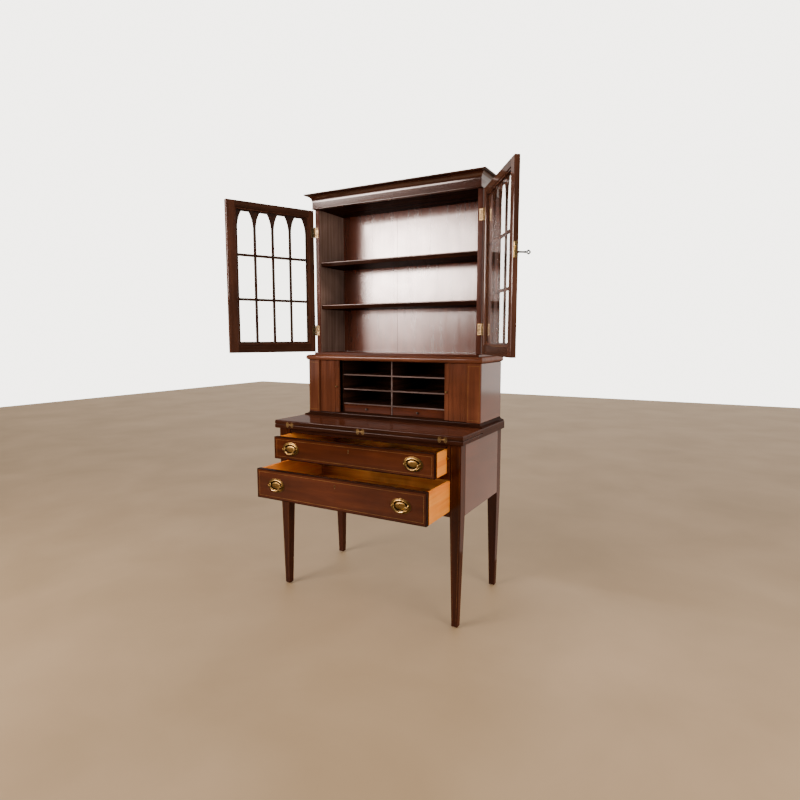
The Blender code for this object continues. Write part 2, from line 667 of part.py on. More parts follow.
def hinge_half(obj_name, mover, side, level, knuckles, plate_y, inward, brass):
    """Hinge leaf let into an edge, with its knuckles on the pin's axis.

    knuckles holds the thirds of the barrel, counted from the foot, that this half carries, and
    inward is the way its plate is let in along Y.
    """
    axis = side * DOOR_AXIS_X
    foot = level - HINGE_LENGTH / 2
    third = HINGE_LENGTH / 3
    edge, root = side * BOOK_HALF, side * (BOOK_HALF - HINGE_WIDTH)
    outline = [(root, foot)]
    for index in range(3):
        reach = axis if index in knuckles else edge
        low, high = foot + index * third, foot + (index + 1) * third
        ease = GAP / 2 if index in knuckles else -GAP / 2
        outline.append((reach, low if index == 0 else low + ease))
        outline.append((reach, high if index == 2 else high - ease))
    outline.append((root, foot + HINGE_LENGTH))
    leaf = prism(outline, "y", plate_y, plate_y + inward * HINGE_PLATE)
    half = to_object(obj_name, leaf, mover, brass)
    for index in knuckles:
        span = (foot + index * third + GAP / 2, foot + (index + 1) * third - GAP / 2)
        barrel = turned([(HINGE_RADIUS, span[0]), (HINGE_RADIUS, span[1])], (axis, DOOR_AXIS_Y), "z")
        combine(half, barrel, mover, "UNION")


def hinge_pocket(obj, mover, side, level, plate_y, inward):
    """Housing for a hinge leaf in an edge."""
    reach = HINGE_LENGTH / 2 + GAP
    pocket = box(side * (BOOK_HALF - HINGE_WIDTH - GAP), side * DOOR_AXIS_X,
                 plate_y - inward * DOOR_GAP, plate_y + inward * (HINGE_PLATE + GAP),
                 level - reach, level + reach)
    combine(obj, pocket, mover, "DIFFERENCE")


def build_door(hand, side, opened, case, carcass_side, woods):
    """Glazed door: sash with its lattice, the glass, and both halves of its two hinges."""
    mover = Mover(f"{hand}_door_hinge", (side * DOOR_AXIS_X, DOOR_AXIS_Y, DOOR_Z), case,
                  turn=side * opened)
    hinge_edge, meeting = BOOK_HALF, MEETING_GAP
    outer = rectangle(meeting, DOOR_Z, hinge_edge, DOOR_TOP_Z)
    rebate_in, rebate_out = meeting + LOCK_STILE, hinge_edge - HINGE_STILE
    rebate_foot, rebate_head = DOOR_Z + DOOR_BOTTOM_RAIL, DOOR_TOP_Z - DOOR_TOP_RAIL
    rebate = rectangle(rebate_in, rebate_foot, rebate_out, rebate_head)
    wide = (rebate_out - rebate_in - 2 * LATTICE_BORDER + MUNTIN) / PANE_COLUMNS
    tall = (rebate_head - rebate_foot - 2 * LATTICE_BORDER + MUNTIN) / PANE_ROWS
    panes = []
    for column in range(PANE_COLUMNS):
        for row in range(PANE_ROWS):
            left = rebate_in + LATTICE_BORDER + column * wide
            foot = rebate_foot + LATTICE_BORDER + row * tall
            shape = arched_pane if row == PANE_ROWS - 1 else rectangle
            panes.append(shape(left, foot, left + wide - MUNTIN, foot + tall - MUNTIN))

    def handed(loop):
        return [(side * x, z) for x, z in loop]

    front, back = DOOR_FRONT_Y, DOOR_FRONT_Y + DOOR_THICK
    ledge = front + LATTICE
    sash = to_object(f"{hand}_door_sash", prism(handed(outer), "y", front, back), mover,
                     woods["mahogany"])
    combine(sash, prism(handed(rebate), "y", ledge, back + LATTICE), mover, "DIFFERENCE")
    combine(sash, prisms([[handed(pane)] for pane in panes], "y", front - LATTICE, back), mover,
            "DIFFERENCE")
    glass = prism(handed(rectangle(rebate_in + GAP, rebate_foot + GAP, rebate_out - GAP,
                                   rebate_head - GAP)), "y", ledge + GAP, ledge + GAP + GLASS)
    to_object(f"{hand}_door_glass", glass, mover, woods["glass"])

    for end, level in (("bottom", DOOR_Z + HINGE_FROM_END), ("top", DOOR_TOP_Z - HINGE_FROM_END)):
        hinge_pocket(carcass_side, case, side, level, -BOOK_DEPTH, 1)
        hinge_pocket(sash, mover, side, level, back, -1)
        name = f"{hand}_door_hinge_{end}"
        hinge_half(f"{name}_fixed", case, side, level, (0, 2), -BOOK_DEPTH, 1, woods["brass"])
        hinge_half(f"{name}_moving", mover, side, level, (1,), back, -1, woods["brass"])
    return mover, sash


def build_lock(door, sash, left_sash, left_door, woods):
    """Mortise lock in the right door's meeting edge, with its bolt and key."""
    axis_x, axis_z = MEETING_GAP + BACKSET, DOOR_Z + LOCK_UP
    middle = DOOR_FRONT_Y + DOOR_THICK / 2
    bolt_z = axis_z + BOLT_ABOVE_KEY
    lock_z = (axis_z + bolt_z) / 2
    plate_in = MEETING_GAP + SELVAGE_THICK

    def slab(x0, x1, thick, middle_z, height):
        return box(x0, x1, middle - thick / 2, middle + thick / 2,
                   middle_z - height / 2, middle_z + height / 2)

    clear = 2 * GAP
    deep = MEETING_GAP + LOCK_BODY_DEEP
    combine(sash, slab(-MEETING_GAP, plate_in + GAP, SELVAGE_WIDTH + clear, lock_z,
                       SELVAGE_LENGTH + clear), door, "DIFFERENCE")
    combine(sash, slab(0.0, deep + GAP, LOCK_BODY_THICK + clear, lock_z, LOCK_BODY + clear), door,
            "DIFFERENCE")
    way = turned([(KEY_HOLE, DOOR_FRONT_Y - RUN), (KEY_HOLE, middle)], (axis_x, axis_z), "y")
    combine(sash, way, door, "DIFFERENCE")

    lock = to_object("door_lock", slab(MEETING_GAP, plate_in, SELVAGE_WIDTH, lock_z, SELVAGE_LENGTH),
                     door, woods["brass"])
    combine(lock, slab(plate_in - SELVAGE_THICK / 2, deep, LOCK_BODY_THICK, lock_z, LOCK_BODY), door,
            "UNION")
    channel_end = MEETING_GAP + BOLT_LENGTH + RUN
    channel = slab(-MEETING_GAP, channel_end, BOLT_THICK + clear, bolt_z, BOLT_HEIGHT + clear)
    combine(lock, channel, door, "DIFFERENCE")
    through = turned([(KEY_HOLE, DOOR_FRONT_Y), (KEY_HOLE, middle + BOLT_THICK / 2)],
                     (axis_x, axis_z), "y")
    combine(lock, through, door, "DIFFERENCE")

    slide = Mover("lock_bolt_slide", (MEETING_GAP, middle, bolt_z), door)
    bolt = slab(MEETING_GAP, MEETING_GAP + BOLT_LENGTH, BOLT_THICK, bolt_z, BOLT_HEIGHT)
    to_object("lock_bolt", bolt, slide, woods["brass"])
    strike = slab(-MEETING_GAP - BOLT_THROW, 0.0, BOLT_THICK + 2 * RUN, bolt_z, BOLT_HEIGHT + 2 * RUN)
    combine(left_sash, strike, left_door, "DIFFERENCE")

    pivot = Mover("door_key_turn", (axis_x, middle, axis_z), door)
    tip = middle + BOLT_THICK / 2 - RUN
    bow_y = DOOR_FRONT_Y - KEY_OUT
    key = to_object("door_key", turned([(KEY_SHANK, tip), (KEY_SHANK, bow_y + KEY_BOW)],
                                       (axis_x, axis_z), "y"), pivot, woods["iron"])
    lozenge = [(bow_y, axis_z - KEY_BOW), (bow_y + KEY_BOW + KEY_SHANK, axis_z),
               (bow_y, axis_z + KEY_BOW), (bow_y - KEY_BOW, axis_z)]
    combine(key, prism(lozenge, "x", axis_x - KEY_BOW_THICK / 2, axis_x + KEY_BOW_THICK / 2), pivot,
            "UNION")
    bit = box(axis_x - KEY_BIT_THICK / 2, axis_x + KEY_BIT_THICK / 2, middle - BOLT_THICK / 2,
              tip - GAP, axis_z - KEY_BIT, axis_z)
    combine(key, bit, pivot, "UNION")


def centre_on_floor(case):
    """Put the middle of the whole piece, as it stands, over the origin with its feet at zero."""
    bpy.context.view_layer.update()
    depsgraph = bpy.context.evaluated_depsgraph_get()
    corners = []
    for obj in bpy.context.scene.objects:
        if obj.type == "MESH" and not obj.hide_render:
            mesh = obj.evaluated_get(depsgraph).to_mesh()
            corners += [obj.matrix_world @ vertex.co for vertex in mesh.vertices]
    low = Vector(min(corner[axis] for corner in corners) for axis in range(3))
    high = Vector(max(corner[axis] for corner in corners) for axis in range(3))
    case.empty.location = Vector((-(low.x + high.x) / 2, -(low.y + high.y) / 2, -low.z))
    bpy.context.view_layer.update()


def main():
    """Build the whole piece."""
    clear_scene()
    woods = {
        "mahogany": finish("mahogany", (0.060, 0.014, 0.008), 0.25),
        "tambour": finish("tambour_mahogany", (0.105, 0.028, 0.012), 0.30),
        "inside": finish("inside_wood", (0.020, 0.006, 0.004), 0.45),
        "drawer": finish("drawer_wood", (0.420, 0.170, 0.050), 0.50),
        "brass": finish("brass", (0.450, 0.320, 0.120), 0.30, metallic=1.0),
        "iron": finish("iron", (0.120, 0.115, 0.110), 0.40, metallic=1.0),
        "glass": finish("glass", (0.900, 0.920, 0.900), 0.02, alpha=0.25),
    }
    case = Mover("secretary", (0, 0, 0))
    build_legs(case, woods["mahogany"])
    bed = build_base(case, woods)
    build_leaf(case, bed, woods)
    build_drawers(case, woods)
    build_tambour_case(case, woods)
    build_tambours(case, woods)
    build_pigeonholes(case, woods)
    sides = build_bookcase(case, woods)
    left_door, left_sash = build_door("left", -1, LEFT_OPEN, case, sides["left"], woods)
    right_door, right_sash = build_door("right", 1, RIGHT_OPEN, case, sides["right"], woods)
    build_lock(right_door, right_sash, left_sash, left_door, woods)
    centre_on_floor(case)


main()
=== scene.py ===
"""Looks of the secretary bookcase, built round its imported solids.

A glazed bookcase stands on a tambour case, and that on a table with a fold-over writing leaf and two
long drawers. Shapes are worked out in the case's own frame: x from the middle to the right, y from the
back plane (the front is negative) and z from the floor, all in metres. Doors are worked out shut and
then swung to where they stand.
"""
from __future__ import annotations

import json
import logging
import math
from dataclasses import dataclass, field
from enum import Enum
from typing import Sequence

import bmesh
import bpy
import numpy as np
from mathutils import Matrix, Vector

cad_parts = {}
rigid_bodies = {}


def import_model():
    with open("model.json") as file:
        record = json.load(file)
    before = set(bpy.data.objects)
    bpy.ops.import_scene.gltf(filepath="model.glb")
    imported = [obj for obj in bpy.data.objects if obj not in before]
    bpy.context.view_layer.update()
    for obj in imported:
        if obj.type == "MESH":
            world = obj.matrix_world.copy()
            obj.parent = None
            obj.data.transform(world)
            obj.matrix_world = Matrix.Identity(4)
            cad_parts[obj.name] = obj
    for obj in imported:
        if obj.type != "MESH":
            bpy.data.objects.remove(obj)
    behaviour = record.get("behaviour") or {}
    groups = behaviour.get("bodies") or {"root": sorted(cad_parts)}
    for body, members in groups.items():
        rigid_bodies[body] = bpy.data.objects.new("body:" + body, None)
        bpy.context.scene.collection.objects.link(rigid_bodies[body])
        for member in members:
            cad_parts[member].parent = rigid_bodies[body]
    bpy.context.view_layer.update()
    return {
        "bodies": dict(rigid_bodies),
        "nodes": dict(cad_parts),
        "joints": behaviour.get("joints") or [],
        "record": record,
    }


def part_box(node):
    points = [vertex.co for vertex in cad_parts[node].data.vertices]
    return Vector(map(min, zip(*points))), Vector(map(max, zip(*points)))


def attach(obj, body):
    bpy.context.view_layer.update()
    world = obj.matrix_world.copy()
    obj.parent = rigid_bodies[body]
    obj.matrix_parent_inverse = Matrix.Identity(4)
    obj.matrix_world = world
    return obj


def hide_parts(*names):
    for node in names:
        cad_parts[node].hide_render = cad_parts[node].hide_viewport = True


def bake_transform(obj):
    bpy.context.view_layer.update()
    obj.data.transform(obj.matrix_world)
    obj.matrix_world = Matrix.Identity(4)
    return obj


LOG = logging.getLogger("secretary")
Array = np.ndarray
Colour = tuple[float, float, float]
Shade = tuple[int, int, int]
QUARTER = math.pi / 2
# Sockets of a Mix node that serve colours
MIX_FACTOR, MIX_FIRST, MIX_SECOND, MIX_RESULT = 0, 6, 7, 2
# How far small knobs stand out, and how far the shut doors stand in front of the bookcase's sides
KNOB_OUT = 0.009
DOOR_ROOM = 0.0208
# How deep thin brass and lines are let into the wood, the finest chamfer, and a step too small to see
SUNK = 0.0010
FINE = 0.0002
HAIR = 0.0001


class Grain(Enum):
    """Way the wood's fibres run; the value is the number of the axis."""

    ACROSS = 0
    DEEP = 1
    UPRIGHT = 2


class Hand(Enum):
    """Side of the piece; the value is the sign of x there."""

    LEFT = -1
    RIGHT = 1

    @property
    def word(self) -> str:
        """Lower-case name, as the solids use it."""
        return self.name.lower()


def screen(red: float, green: float, blue: float) -> Colour:
    """Linear colour of one given in screen values from 0 to 255."""
    level = np.array([red, green, blue]) / 255.0
    linear = np.where(level <= 0.04045, level / 12.92, ((level + 0.055) / 1.055) ** 2.4)
    return tuple(float(part) for part in linear)


def gather(*columns: Array | float) -> Array:
    """Points from their coordinates, each of them an array, or one number for all points."""
    return np.stack(np.broadcast_arrays(*columns), -1)


def circle(sides: int) -> Array:
    """Angles of points spread evenly round a circle."""
    return np.arange(sides) * (2 * math.pi / sides)


class Lit(Enum):
    """What a lamp is there for."""

    SHINE = "shine"
    FILL = "fill"


class Graph:
    """Node tree of one material, with short calls to add and join nodes."""

    def __init__(self, name: str) -> None:
        """Start a material that holds one Principled shader."""
        self.material = bpy.data.materials.new(name)
        self.material.use_nodes = True
        self.tree = self.material.node_tree
        self.shader = self.tree.nodes["Principled BSDF"]

    def add(self, kind: str, **values: object) -> bpy.types.Node:
        """Add a node.

        Args:
            kind: Node type without its ShaderNode prefix.
            values: Node properties, or socket values with _ for a space.

        Returns:
            The node.
        """
        node = self.tree.nodes.new(f"ShaderNode{kind}")
        for key, value in values.items():
            if hasattr(node, key):
                setattr(node, key, value)
            else:
                node.inputs[key.replace("_", " ")].default_value = value
        return node

    def link(self, source: bpy.types.NodeSocket, target: bpy.types.NodeSocket) -> None:
        """Join two sockets."""
        self.tree.links.new(source, target)

    def gloss(self, **values: float) -> None:
        """Set plain values on the shader's own sockets, with _ for a space."""
        for key, value in values.items():
            self.shader.inputs[key.replace("_", " ")].default_value = value

    def noise(self, vector: bpy.types.NodeSocket, scale: float, detail: float = 3.0,
              distortion: float = 0.0) -> bpy.types.NodeSocket:
        """Soft noise over a vector, as one number from 0 to 1."""
        node = self.add("TexNoise", Scale=scale, Detail=detail, Distortion=distortion)
        self.link(vector, node.inputs["Vector"])
        return node.outputs["Fac"]

    def ramp(self, factor: bpy.types.NodeSocket,
             stops: Sequence[tuple[float, Colour]]) -> bpy.types.NodeSocket:
        """Colour that passes through the stops as the factor grows."""
        node = self.add("ValToRGB")
        band = node.color_ramp
        while len(band.elements) < len(stops):
            band.elements.new(0.5)
        for element, (place, colour) in zip(band.elements, stops):
            element.position = place
            element.color = (*colour, 1.0)
        self.link(factor, node.inputs["Fac"])
        return node.outputs["Color"]

    def spread(self, factor: bpy.types.NodeSocket, low: float, high: float, start: float,
               end: float) -> bpy.types.NodeSocket:
        """Number that runs from start to end while the factor runs from low to high."""
        node = self.add("MapRange", From_Min=low, From_Max=high, To_Min=start, To_Max=end)
        self.link(factor, node.inputs["Value"])
        return node.outputs["Result"]

    def mix(self, factor: bpy.types.NodeSocket | float, first: bpy.types.NodeSocket | Colour,
            second: bpy.types.NodeSocket | Colour, blend: str = "MIX") -> bpy.types.NodeSocket:
        """Blend of two colours; each may be a socket or a plain colour."""
        node = self.add("Mix", data_type="RGBA", blend_type=blend)
        for value, index in ((factor, MIX_FACTOR), (first, MIX_FIRST), (second, MIX_SECOND)):
            if isinstance(value, bpy.types.NodeSocket):
                self.link(value, node.inputs[index])
            else:
                node.inputs[index].default_value = value if index == MIX_FACTOR else (*value, 1.0)
        return node.outputs[MIX_RESULT]

    def bump(self, height: bpy.types.NodeSocket, strength: float, distance: float) -> None:
        """Roughen the shader's normal by a height."""
        node = self.add("Bump", Strength=strength, Distance=distance)
        self.link(height, node.inputs["Height"])
        self.link(node.outputs["Normal"], self.shader.inputs["Normal"])


@dataclass(frozen=True)
class Wood:
    """Polished wood: long streaks, short pores and slow clouds of colour along the grain.

    The shades are screen values. Streak and length are a streak's width and length in metres. Cloud, pore
    and worn say how strongly clouds, pores and worn patches of the polish show.
    """

    name: str
    deep: Shade
    body: Shade
    light: Shade
    roughness: float = 0.34
    coat: float = 0.9
    coat_roughness: float = 0.10
    sheen: float = 0.0
    streak: float = 0.020
    length: float = 0.42
    cloud: float = 0.35
    pore: float = 0.45
    relief: float = 0.10
    uneven: float = 0.055
    worn: float = 0.0
    pores_per_streak: float = 15.0
    pore_depth: float = 0.0006
    clouds_per_metre: float = 3.4
    patches_per_metre: float = 9.0

    def material(self, grain: Grain, turn: float = 0.0) -> bpy.types.Material:
        """Material of this wood.

        Args:
            grain: Axis that the fibres follow.
            turn: Turn of that axis about the upright, for a door that stands open, in radians.

        Returns:
            The material, made once for each grain and turn.
        """
        name = f"{self.name}_{grain.name.lower()}_{round(math.degrees(turn))}"
        made = bpy.data.materials.get(name)
        if made:
            return made
        graph = Graph(name)
        place = graph.add("TexCoord").outputs["Object"]
        sizes = [self.streak] * 3
        sizes[grain.value] = self.length
        along = graph.add("Mapping", vector_type="TEXTURE", Rotation=(0.0, 0.0, turn), Scale=sizes)
        graph.link(place, along.inputs["Vector"])
        along = along.outputs["Vector"]
        streaks = graph.noise(along, 1.0, 6.0, 0.5)
        pores = graph.noise(along, self.pores_per_streak, 2.0)
        clouds = graph.noise(place, self.clouds_per_metre, 3.0, 0.6)
        deep = screen(*self.deep)
        colour = graph.ramp(streaks, ((0.30, deep), (0.50, screen(*self.body)), (0.72, screen(*self.light))))
        shade = graph.spread(clouds, 0.32, 0.68, 1.0 - self.cloud, 1.0 + self.cloud * 0.5)
        colour = graph.mix(1.0, colour, shade, "MULTIPLY")
        flecks = graph.spread(pores, 0.52, 0.66, 0.0, self.pore)
        colour = graph.mix(flecks, colour, deep)
        graph.link(colour, graph.shader.inputs["Base Color"])
        rough = graph.spread(streaks, 0.3, 0.7, self.roughness + self.uneven, self.roughness - self.uneven)
        graph.link(rough, graph.shader.inputs["Roughness"])
        graph.bump(pores, self.relief, self.pore_depth)
        graph.gloss(Coat_Weight=self.coat, Coat_Roughness=self.coat_roughness, Specular_IOR_Level=self.sheen)
        if self.worn:
            patches = graph.noise(place, self.patches_per_metre, 5.0, 1.2)
            kept = graph.spread(patches, 0.35, 0.62, self.coat - self.worn, self.coat)
            graph.link(kept, graph.shader.inputs["Coat Weight"])
        return graph.material


@dataclass(frozen=True)
class Metal:
    """Old metal: bright where rubbed, dull in patches and dark in the hollows that a piece marks.

    Bare is 1 for clean metal and 0 for metal under a black skin, which shines only by its sheen.
    """

    name: str
    bright: Shade
    dull: Shade
    grime: Shade
    roughness: float = 0.28
    bare: float = 1.0
    sheen: float = 0.5
    patches_per_metre: float = 75.0
    specks_per_metre: float = 420.0

    def material(self) -> bpy.types.Material:
        """Material of this metal, made once; the attribute named hollow runs from 0 to 1."""
        made = bpy.data.materials.get(self.name)
        if made:
            return made
        graph = Graph(self.name)
        place = graph.add("TexCoord").outputs["Object"]
        patches = graph.noise(place, self.patches_per_metre, 4.0, 0.4)
        specks = graph.noise(place, self.specks_per_metre, 2.0)
        colour = graph.ramp(patches, ((0.34, screen(*self.dull)), (0.62, screen(*self.bright))))
        hollow = graph.add("Attribute", attribute_name="hollow").outputs["Fac"]
        colour = graph.mix(hollow, colour, screen(*self.grime))
        graph.link(colour, graph.shader.inputs["Base Color"])
        rough = graph.spread(patches, 0.3, 0.7, self.roughness + 0.16, self.roughness - 0.06)
        graph.link(rough, graph.shader.inputs["Roughness"])
        graph.bump(specks, 0.06, 0.0003)
        graph.gloss(Metallic=self.bare, Specular_IOR_Level=self.sheen)
        return graph.material


@dataclass(frozen=True)
class Pane:
    """Clear old window glass with a slow ripple."""

    name: str
    tint: Colour
    ripple: float = 0.05
    waves_per_metre: float = 9.0

    def material(self) -> bpy.types.Material:
        """Material of the glass, made once."""
        made = bpy.data.materials.get(self.name)
        if made:
            return made
        graph = Graph(self.name)
        place = graph.add("TexCoord").outputs["Object"]
        waves = graph.noise(place, self.waves_per_metre, 1.0)
        colour = graph.ramp(waves, ((0.3, self.tint), (0.7, (1.0, 1.0, 1.0))))
        graph.link(colour, graph.shader.inputs["Base Color"])
        graph.bump(waves, self.ripple, 0.002)
        graph.gloss(Roughness=0.01, IOR=1.45, Transmission_Weight=1.0)
        return graph.material


MAHOGANY = Wood("mahogany", (56, 23, 11), (72, 31, 15), (86, 39, 20), coat=0.5, coat_roughness=0.14)
SIDES = Wood("side_mahogany", (54, 27, 17), (69, 35, 24), (83, 45, 30), pore=0.3)
BOOK = Wood("bookcase_mahogany", (66, 33, 23), (83, 44, 32), (98, 54, 40), coat=0.24, coat_roughness=0.14)
# Lighter, greyer wood of the bookcase's inner faces: a hazed varnish, with a painted sheen laid into the
# colour.
LINER = Wood("hazed_mahogany", (104, 79, 69), (123, 97, 85), (139, 112, 100), coat=0.3, coat_roughness=0.2)
DOOR = Wood("door_mahogany", (57, 32, 22), (72, 42, 30), (86, 52, 37), coat=0.5)
RAIL = Wood("rail_mahogany", (42, 24, 16), (55, 32, 22), (67, 41, 29), coat=0.4)
CORNICE = Wood("cornice_mahogany", (36, 16, 9), (47, 21, 11), (57, 28, 15), coat=0.95, coat_roughness=0.12)
ARRIS = Wood("polished_arris", (50, 24, 16), (64, 32, 22), (76, 40, 29), coat=0.8, coat_roughness=0.2,
             sheen=0.5)
LEGS = Wood("leg_mahogany", (40, 16, 7), (52, 21, 9), (63, 27, 12), coat=0.4)
DARK = Wood("dark_mahogany", (46, 18, 8), (60, 25, 11), (72, 32, 15), coat=0.5)
MATT = Wood("matt_mahogany", (30, 14, 8), (42, 20, 12), (52, 26, 15), coat=0.08, roughness=0.5)
LEAF = Wood("leaf_mahogany", (37, 16, 9), (48, 22, 12), (59, 28, 15), coat=0.24, coat_roughness=0.16)
FRONTS = Wood("figured_mahogany", (55, 23, 10), (70, 30, 14), (83, 38, 18), coat=0.45, cloud=0.4,
              streak=0.034)
REEDED = Wood("tambour_mahogany", (78, 41, 26), (97, 52, 33), (112, 63, 41), coat=0.35, pore=0.3)
PANEL = Wood("back_mahogany", (76, 37, 24), (92, 46, 31), (106, 56, 38), roughness=0.18, coat=1.0,
             coat_roughness=0.15, sheen=0.9, uneven=0.04, worn=0.45, streak=0.030, relief=0.02)
INSIDE = Wood("dark_inside", (30, 17, 11), (46, 26, 18), (62, 34, 24), coat=0.0, roughness=0.62)
LIPPING = Wood("worn_lipping", (92, 72, 66), (116, 94, 88), (140, 118, 112), coat=0.4, pore=0.2)
TAN = Wood("drawer_wood", (240, 128, 46), (252, 149, 57), (255, 165, 72), coat=0.06, roughness=0.50,
           cloud=0.18, pore=0.14, streak=0.016)
LINING = Wood("drawer_lining", (190, 112, 48), (226, 146, 70), (242, 172, 96), coat=0.05, roughness=0.5,
              cloud=0.5, pore=0.25)
STRING = Wood("string_inlay", (108, 68, 34), (138, 94, 50), (158, 114, 66), coat=0.3, streak=0.004,
              length=0.03)
FAINT = Wood("worn_string", (72, 38, 20), (94, 54, 28), (112, 68, 38), coat=0.4, streak=0.004, length=0.03)
BRASS = Metal("aged_brass", (154, 124, 70), (102, 76, 38), (14, 9, 5))
BRIGHT = Metal("bright_brass", (206, 176, 116), (160, 128, 74), (44, 30, 16), 0.26)
BUTT = Metal("butt_brass", (156, 136, 100), (98, 82, 57), (10, 7, 5), 0.42)
OLD = Metal("old_brass", (118, 96, 60), (72, 55, 33), (14, 9, 6), 0.36)
IRON = Metal("worn_iron", (78, 72, 68), (46, 42, 40), (14, 12, 11), 0.42)
BLACK = Metal("key_iron", (22, 20, 18), (13, 12, 11), (6, 5, 5), 0.55, bare=0.0, sheen=0.1)
NICKEL = Metal("glide_nickel", (222, 218, 208), (176, 170, 158), (70, 64, 58), 0.30)
GLASS = Pane("window_glass", (0.96, 0.98, 0.96))


@dataclass
class Shell:
    """Surface of one or more closed forms: its points and its faces by number of corners."""

    points: Array
    faces: list[Array]
    hollow: Array | None = None

    @staticmethod
    def join(shells: Sequence["Shell"]) -> "Shell":
        """One surface from several, with their point numbers moved on."""
        starts = np.cumsum([0] + [len(shell.points) for shell in shells])
        faces = [rows + start for shell, start in zip(shells, starts) for rows in shell.faces]
        hollow = None
        if any(shell.hollow is not None for shell in shells):
            hollow = np.concatenate([np.zeros(len(shell.points)) if shell.hollow is None
                                     else shell.hollow for shell in shells])
        return Shell(np.concatenate([shell.points for shell in shells]), faces, hollow)

    def mirrored(self, side: int) -> "Shell":
        """The same form with x times a sign."""
        return Shell(self.points * np.array([side, 1, 1]), self.faces, self.hollow)

    def moved(self, x: float = 0.0, y: float = 0.0, z: float = 0.0) -> "Shell":
        """The same form shifted."""
        return Shell(self.points + np.array([x, y, z]), self.faces, self.hollow)


def skin(points: Array, closed: bool = True, capped: bool = True, ring: bool = False) -> Shell:
    """Surface over a grid of points, rows by columns.

    Args:
        points: Array of rows x columns x 3.
        closed: Whether the last column meets the first.
        capped: Whether the first and last row are filled with a flat face each.
        ring: Whether the last row meets the first.

    Returns:
        The surface; corner (row, column) has the number row * columns + column.
    """
    rows, columns = points.shape[:2]
    row = np.arange(rows if ring else rows - 1)
    column = np.arange(columns if closed else columns - 1)
    row, column = np.meshgrid(row, column, indexing="ij")
    after, beside = (row + 1) % rows, (column + 1) % columns
    quads = np.stack([row * columns + column, row * columns + beside, after * columns + beside,
                      after * columns + column], axis=-1).reshape(-1, 4)
    faces = [quads]
    if capped:
        numbers = np.arange(columns)[None, :]
        faces += [numbers[:, ::-1], numbers + (rows - 1) * columns]
    return Shell(points.reshape(-1, 3), faces)


def block(low: Sequence[float], high: Sequence[float], ease: float = 0.0010) -> Shell:
    """Board between two corners with its arrises planed off at 45 degrees.

    Each corner gives three points, one on each face that meets there: the corner pulled in by ease
    along the two axes that lie in that face.
    """
    low, high = np.minimum(low, high), np.maximum(low, high)
    thinnest = float((high - low).min())
    ease = min(ease, 0.45 * thinnest)
    signs = np.array([(x, y, z) for x in (-1, 1) for y in (-1, 1) for z in (-1, 1)], float)
    half = (high - low) / 2
    pulled = half - ease * (1 - np.eye(3))
    points = (low + high) / 2 + signs[:, None, :] * pulled[None, :, :]
    order = ((0, 1, 3, 2), (4, 6, 7, 5), (0, 4, 5, 1), (2, 3, 7, 6), (0, 2, 6, 4), (1, 5, 7, 3))
    flats = np.array([[corner * 3 + axis for corner in ring]
                      for ring, axis in zip(order, (0, 0, 1, 1, 2, 2))])
    pairs = [(a, b) for a in range(8) for b in range(a + 1, 8) if bin(a ^ b).count("1") == 1]
    edges = []
    for a, b in pairs:
        one, two = [axis for axis in range(3) if signs[a][axis] == signs[b][axis]]
        edges.append((a * 3 + one, b * 3 + one, b * 3 + two, a * 3 + two))
    corners = np.arange(24).reshape(8, 3)
    return Shell(points.reshape(-1, 3), [flats, np.array(edges), corners])


def frame_strips(low: tuple[float, float], high: tuple[float, float], wide: float, front: float,
                 back: float) -> list[Shell]:
    """Four strips round a rectangle in the upright plane that faces front."""
    (x0, z0), (x1, z1) = low, high
    spans = (((x0, z0), (x1, z0 + wide)), ((x0, z1 - wide), (x1, z1)),
             ((x0, z0 + wide), (x0 + wide, z1 - wide)), ((x1 - wide, z0 + wide), (x1, z1 - wide)))
    return [block((a[0], front, a[1]), (b[0], back, b[1]), FINE) for a, b in spans]


def rounded_edge(low: float, high: float, radius: float, steps: int = 8) -> Array:
    """Stations of a board's edge whose arrises are quarter circles.

    Returns:
        Rows of (z, growth): the growth is radius * (cos(angle) - 1) while z runs radius * sin(angle)
        beyond the straight part, with one more row inside each flat face to keep it flat.
    """
    angle = np.linspace(0, QUARTER, steps + 1)
    inset = radius * (np.cos(angle) - 1)
    rise = radius * np.sin(angle)
    under = gather(low + radius - rise, inset)[::-1]
    over = gather(high - radius + rise, inset)
    hold = radius * 1.6
    return np.concatenate([[(low, -hold)], under, over, [(high, -hold)]])


def moulded(half: float, front: float, back: float, edge: Array, beside: float = 1.0,
            ahead: float = 1.0, behind: Array | float = 0.0) -> Shell:
    """Board whose edges follow a profile round its two sides and front, mitred at the corners.

    Args:
        half: Half its width.
        front: Plane of its front.
        back: Plane of its back.
        edge: Rows of (z, growth).
        beside: Share of the growth that the sides take.
        ahead: Share of the growth that the front takes.
        behind: Growth of the back, for all rows or for each.

    Returns:
        The surface: at each row of the edge a rectangle, grown by that much on each side.
    """
    z, growth = edge.T
    wide, near, far = half + growth * beside, front - growth * ahead, back + behind
    return skin(gather(gather(-wide, wide, wide, -wide), gather(near, near, far, far), z[:, None]))


def turned(profile: Sequence[tuple[float, float]], base: Sequence[float], axis: Grain,
           sides: int = 20) -> Shell:
    """Form turned on a lathe: each (radius, place along the axis) becomes a circle about the axis."""
    radius, along = np.array(profile, float).T
    angle = circle(sides)
    first, second = [number for number in range(3) if number != axis.value]
    points = np.zeros((len(radius), sides, 3))
    points[..., first] = radius[:, None] * np.cos(angle)
    points[..., second] = radius[:, None] * np.sin(angle)
    points[..., axis.value] = along[:, None]
    return skin(points + np.array(base, float))


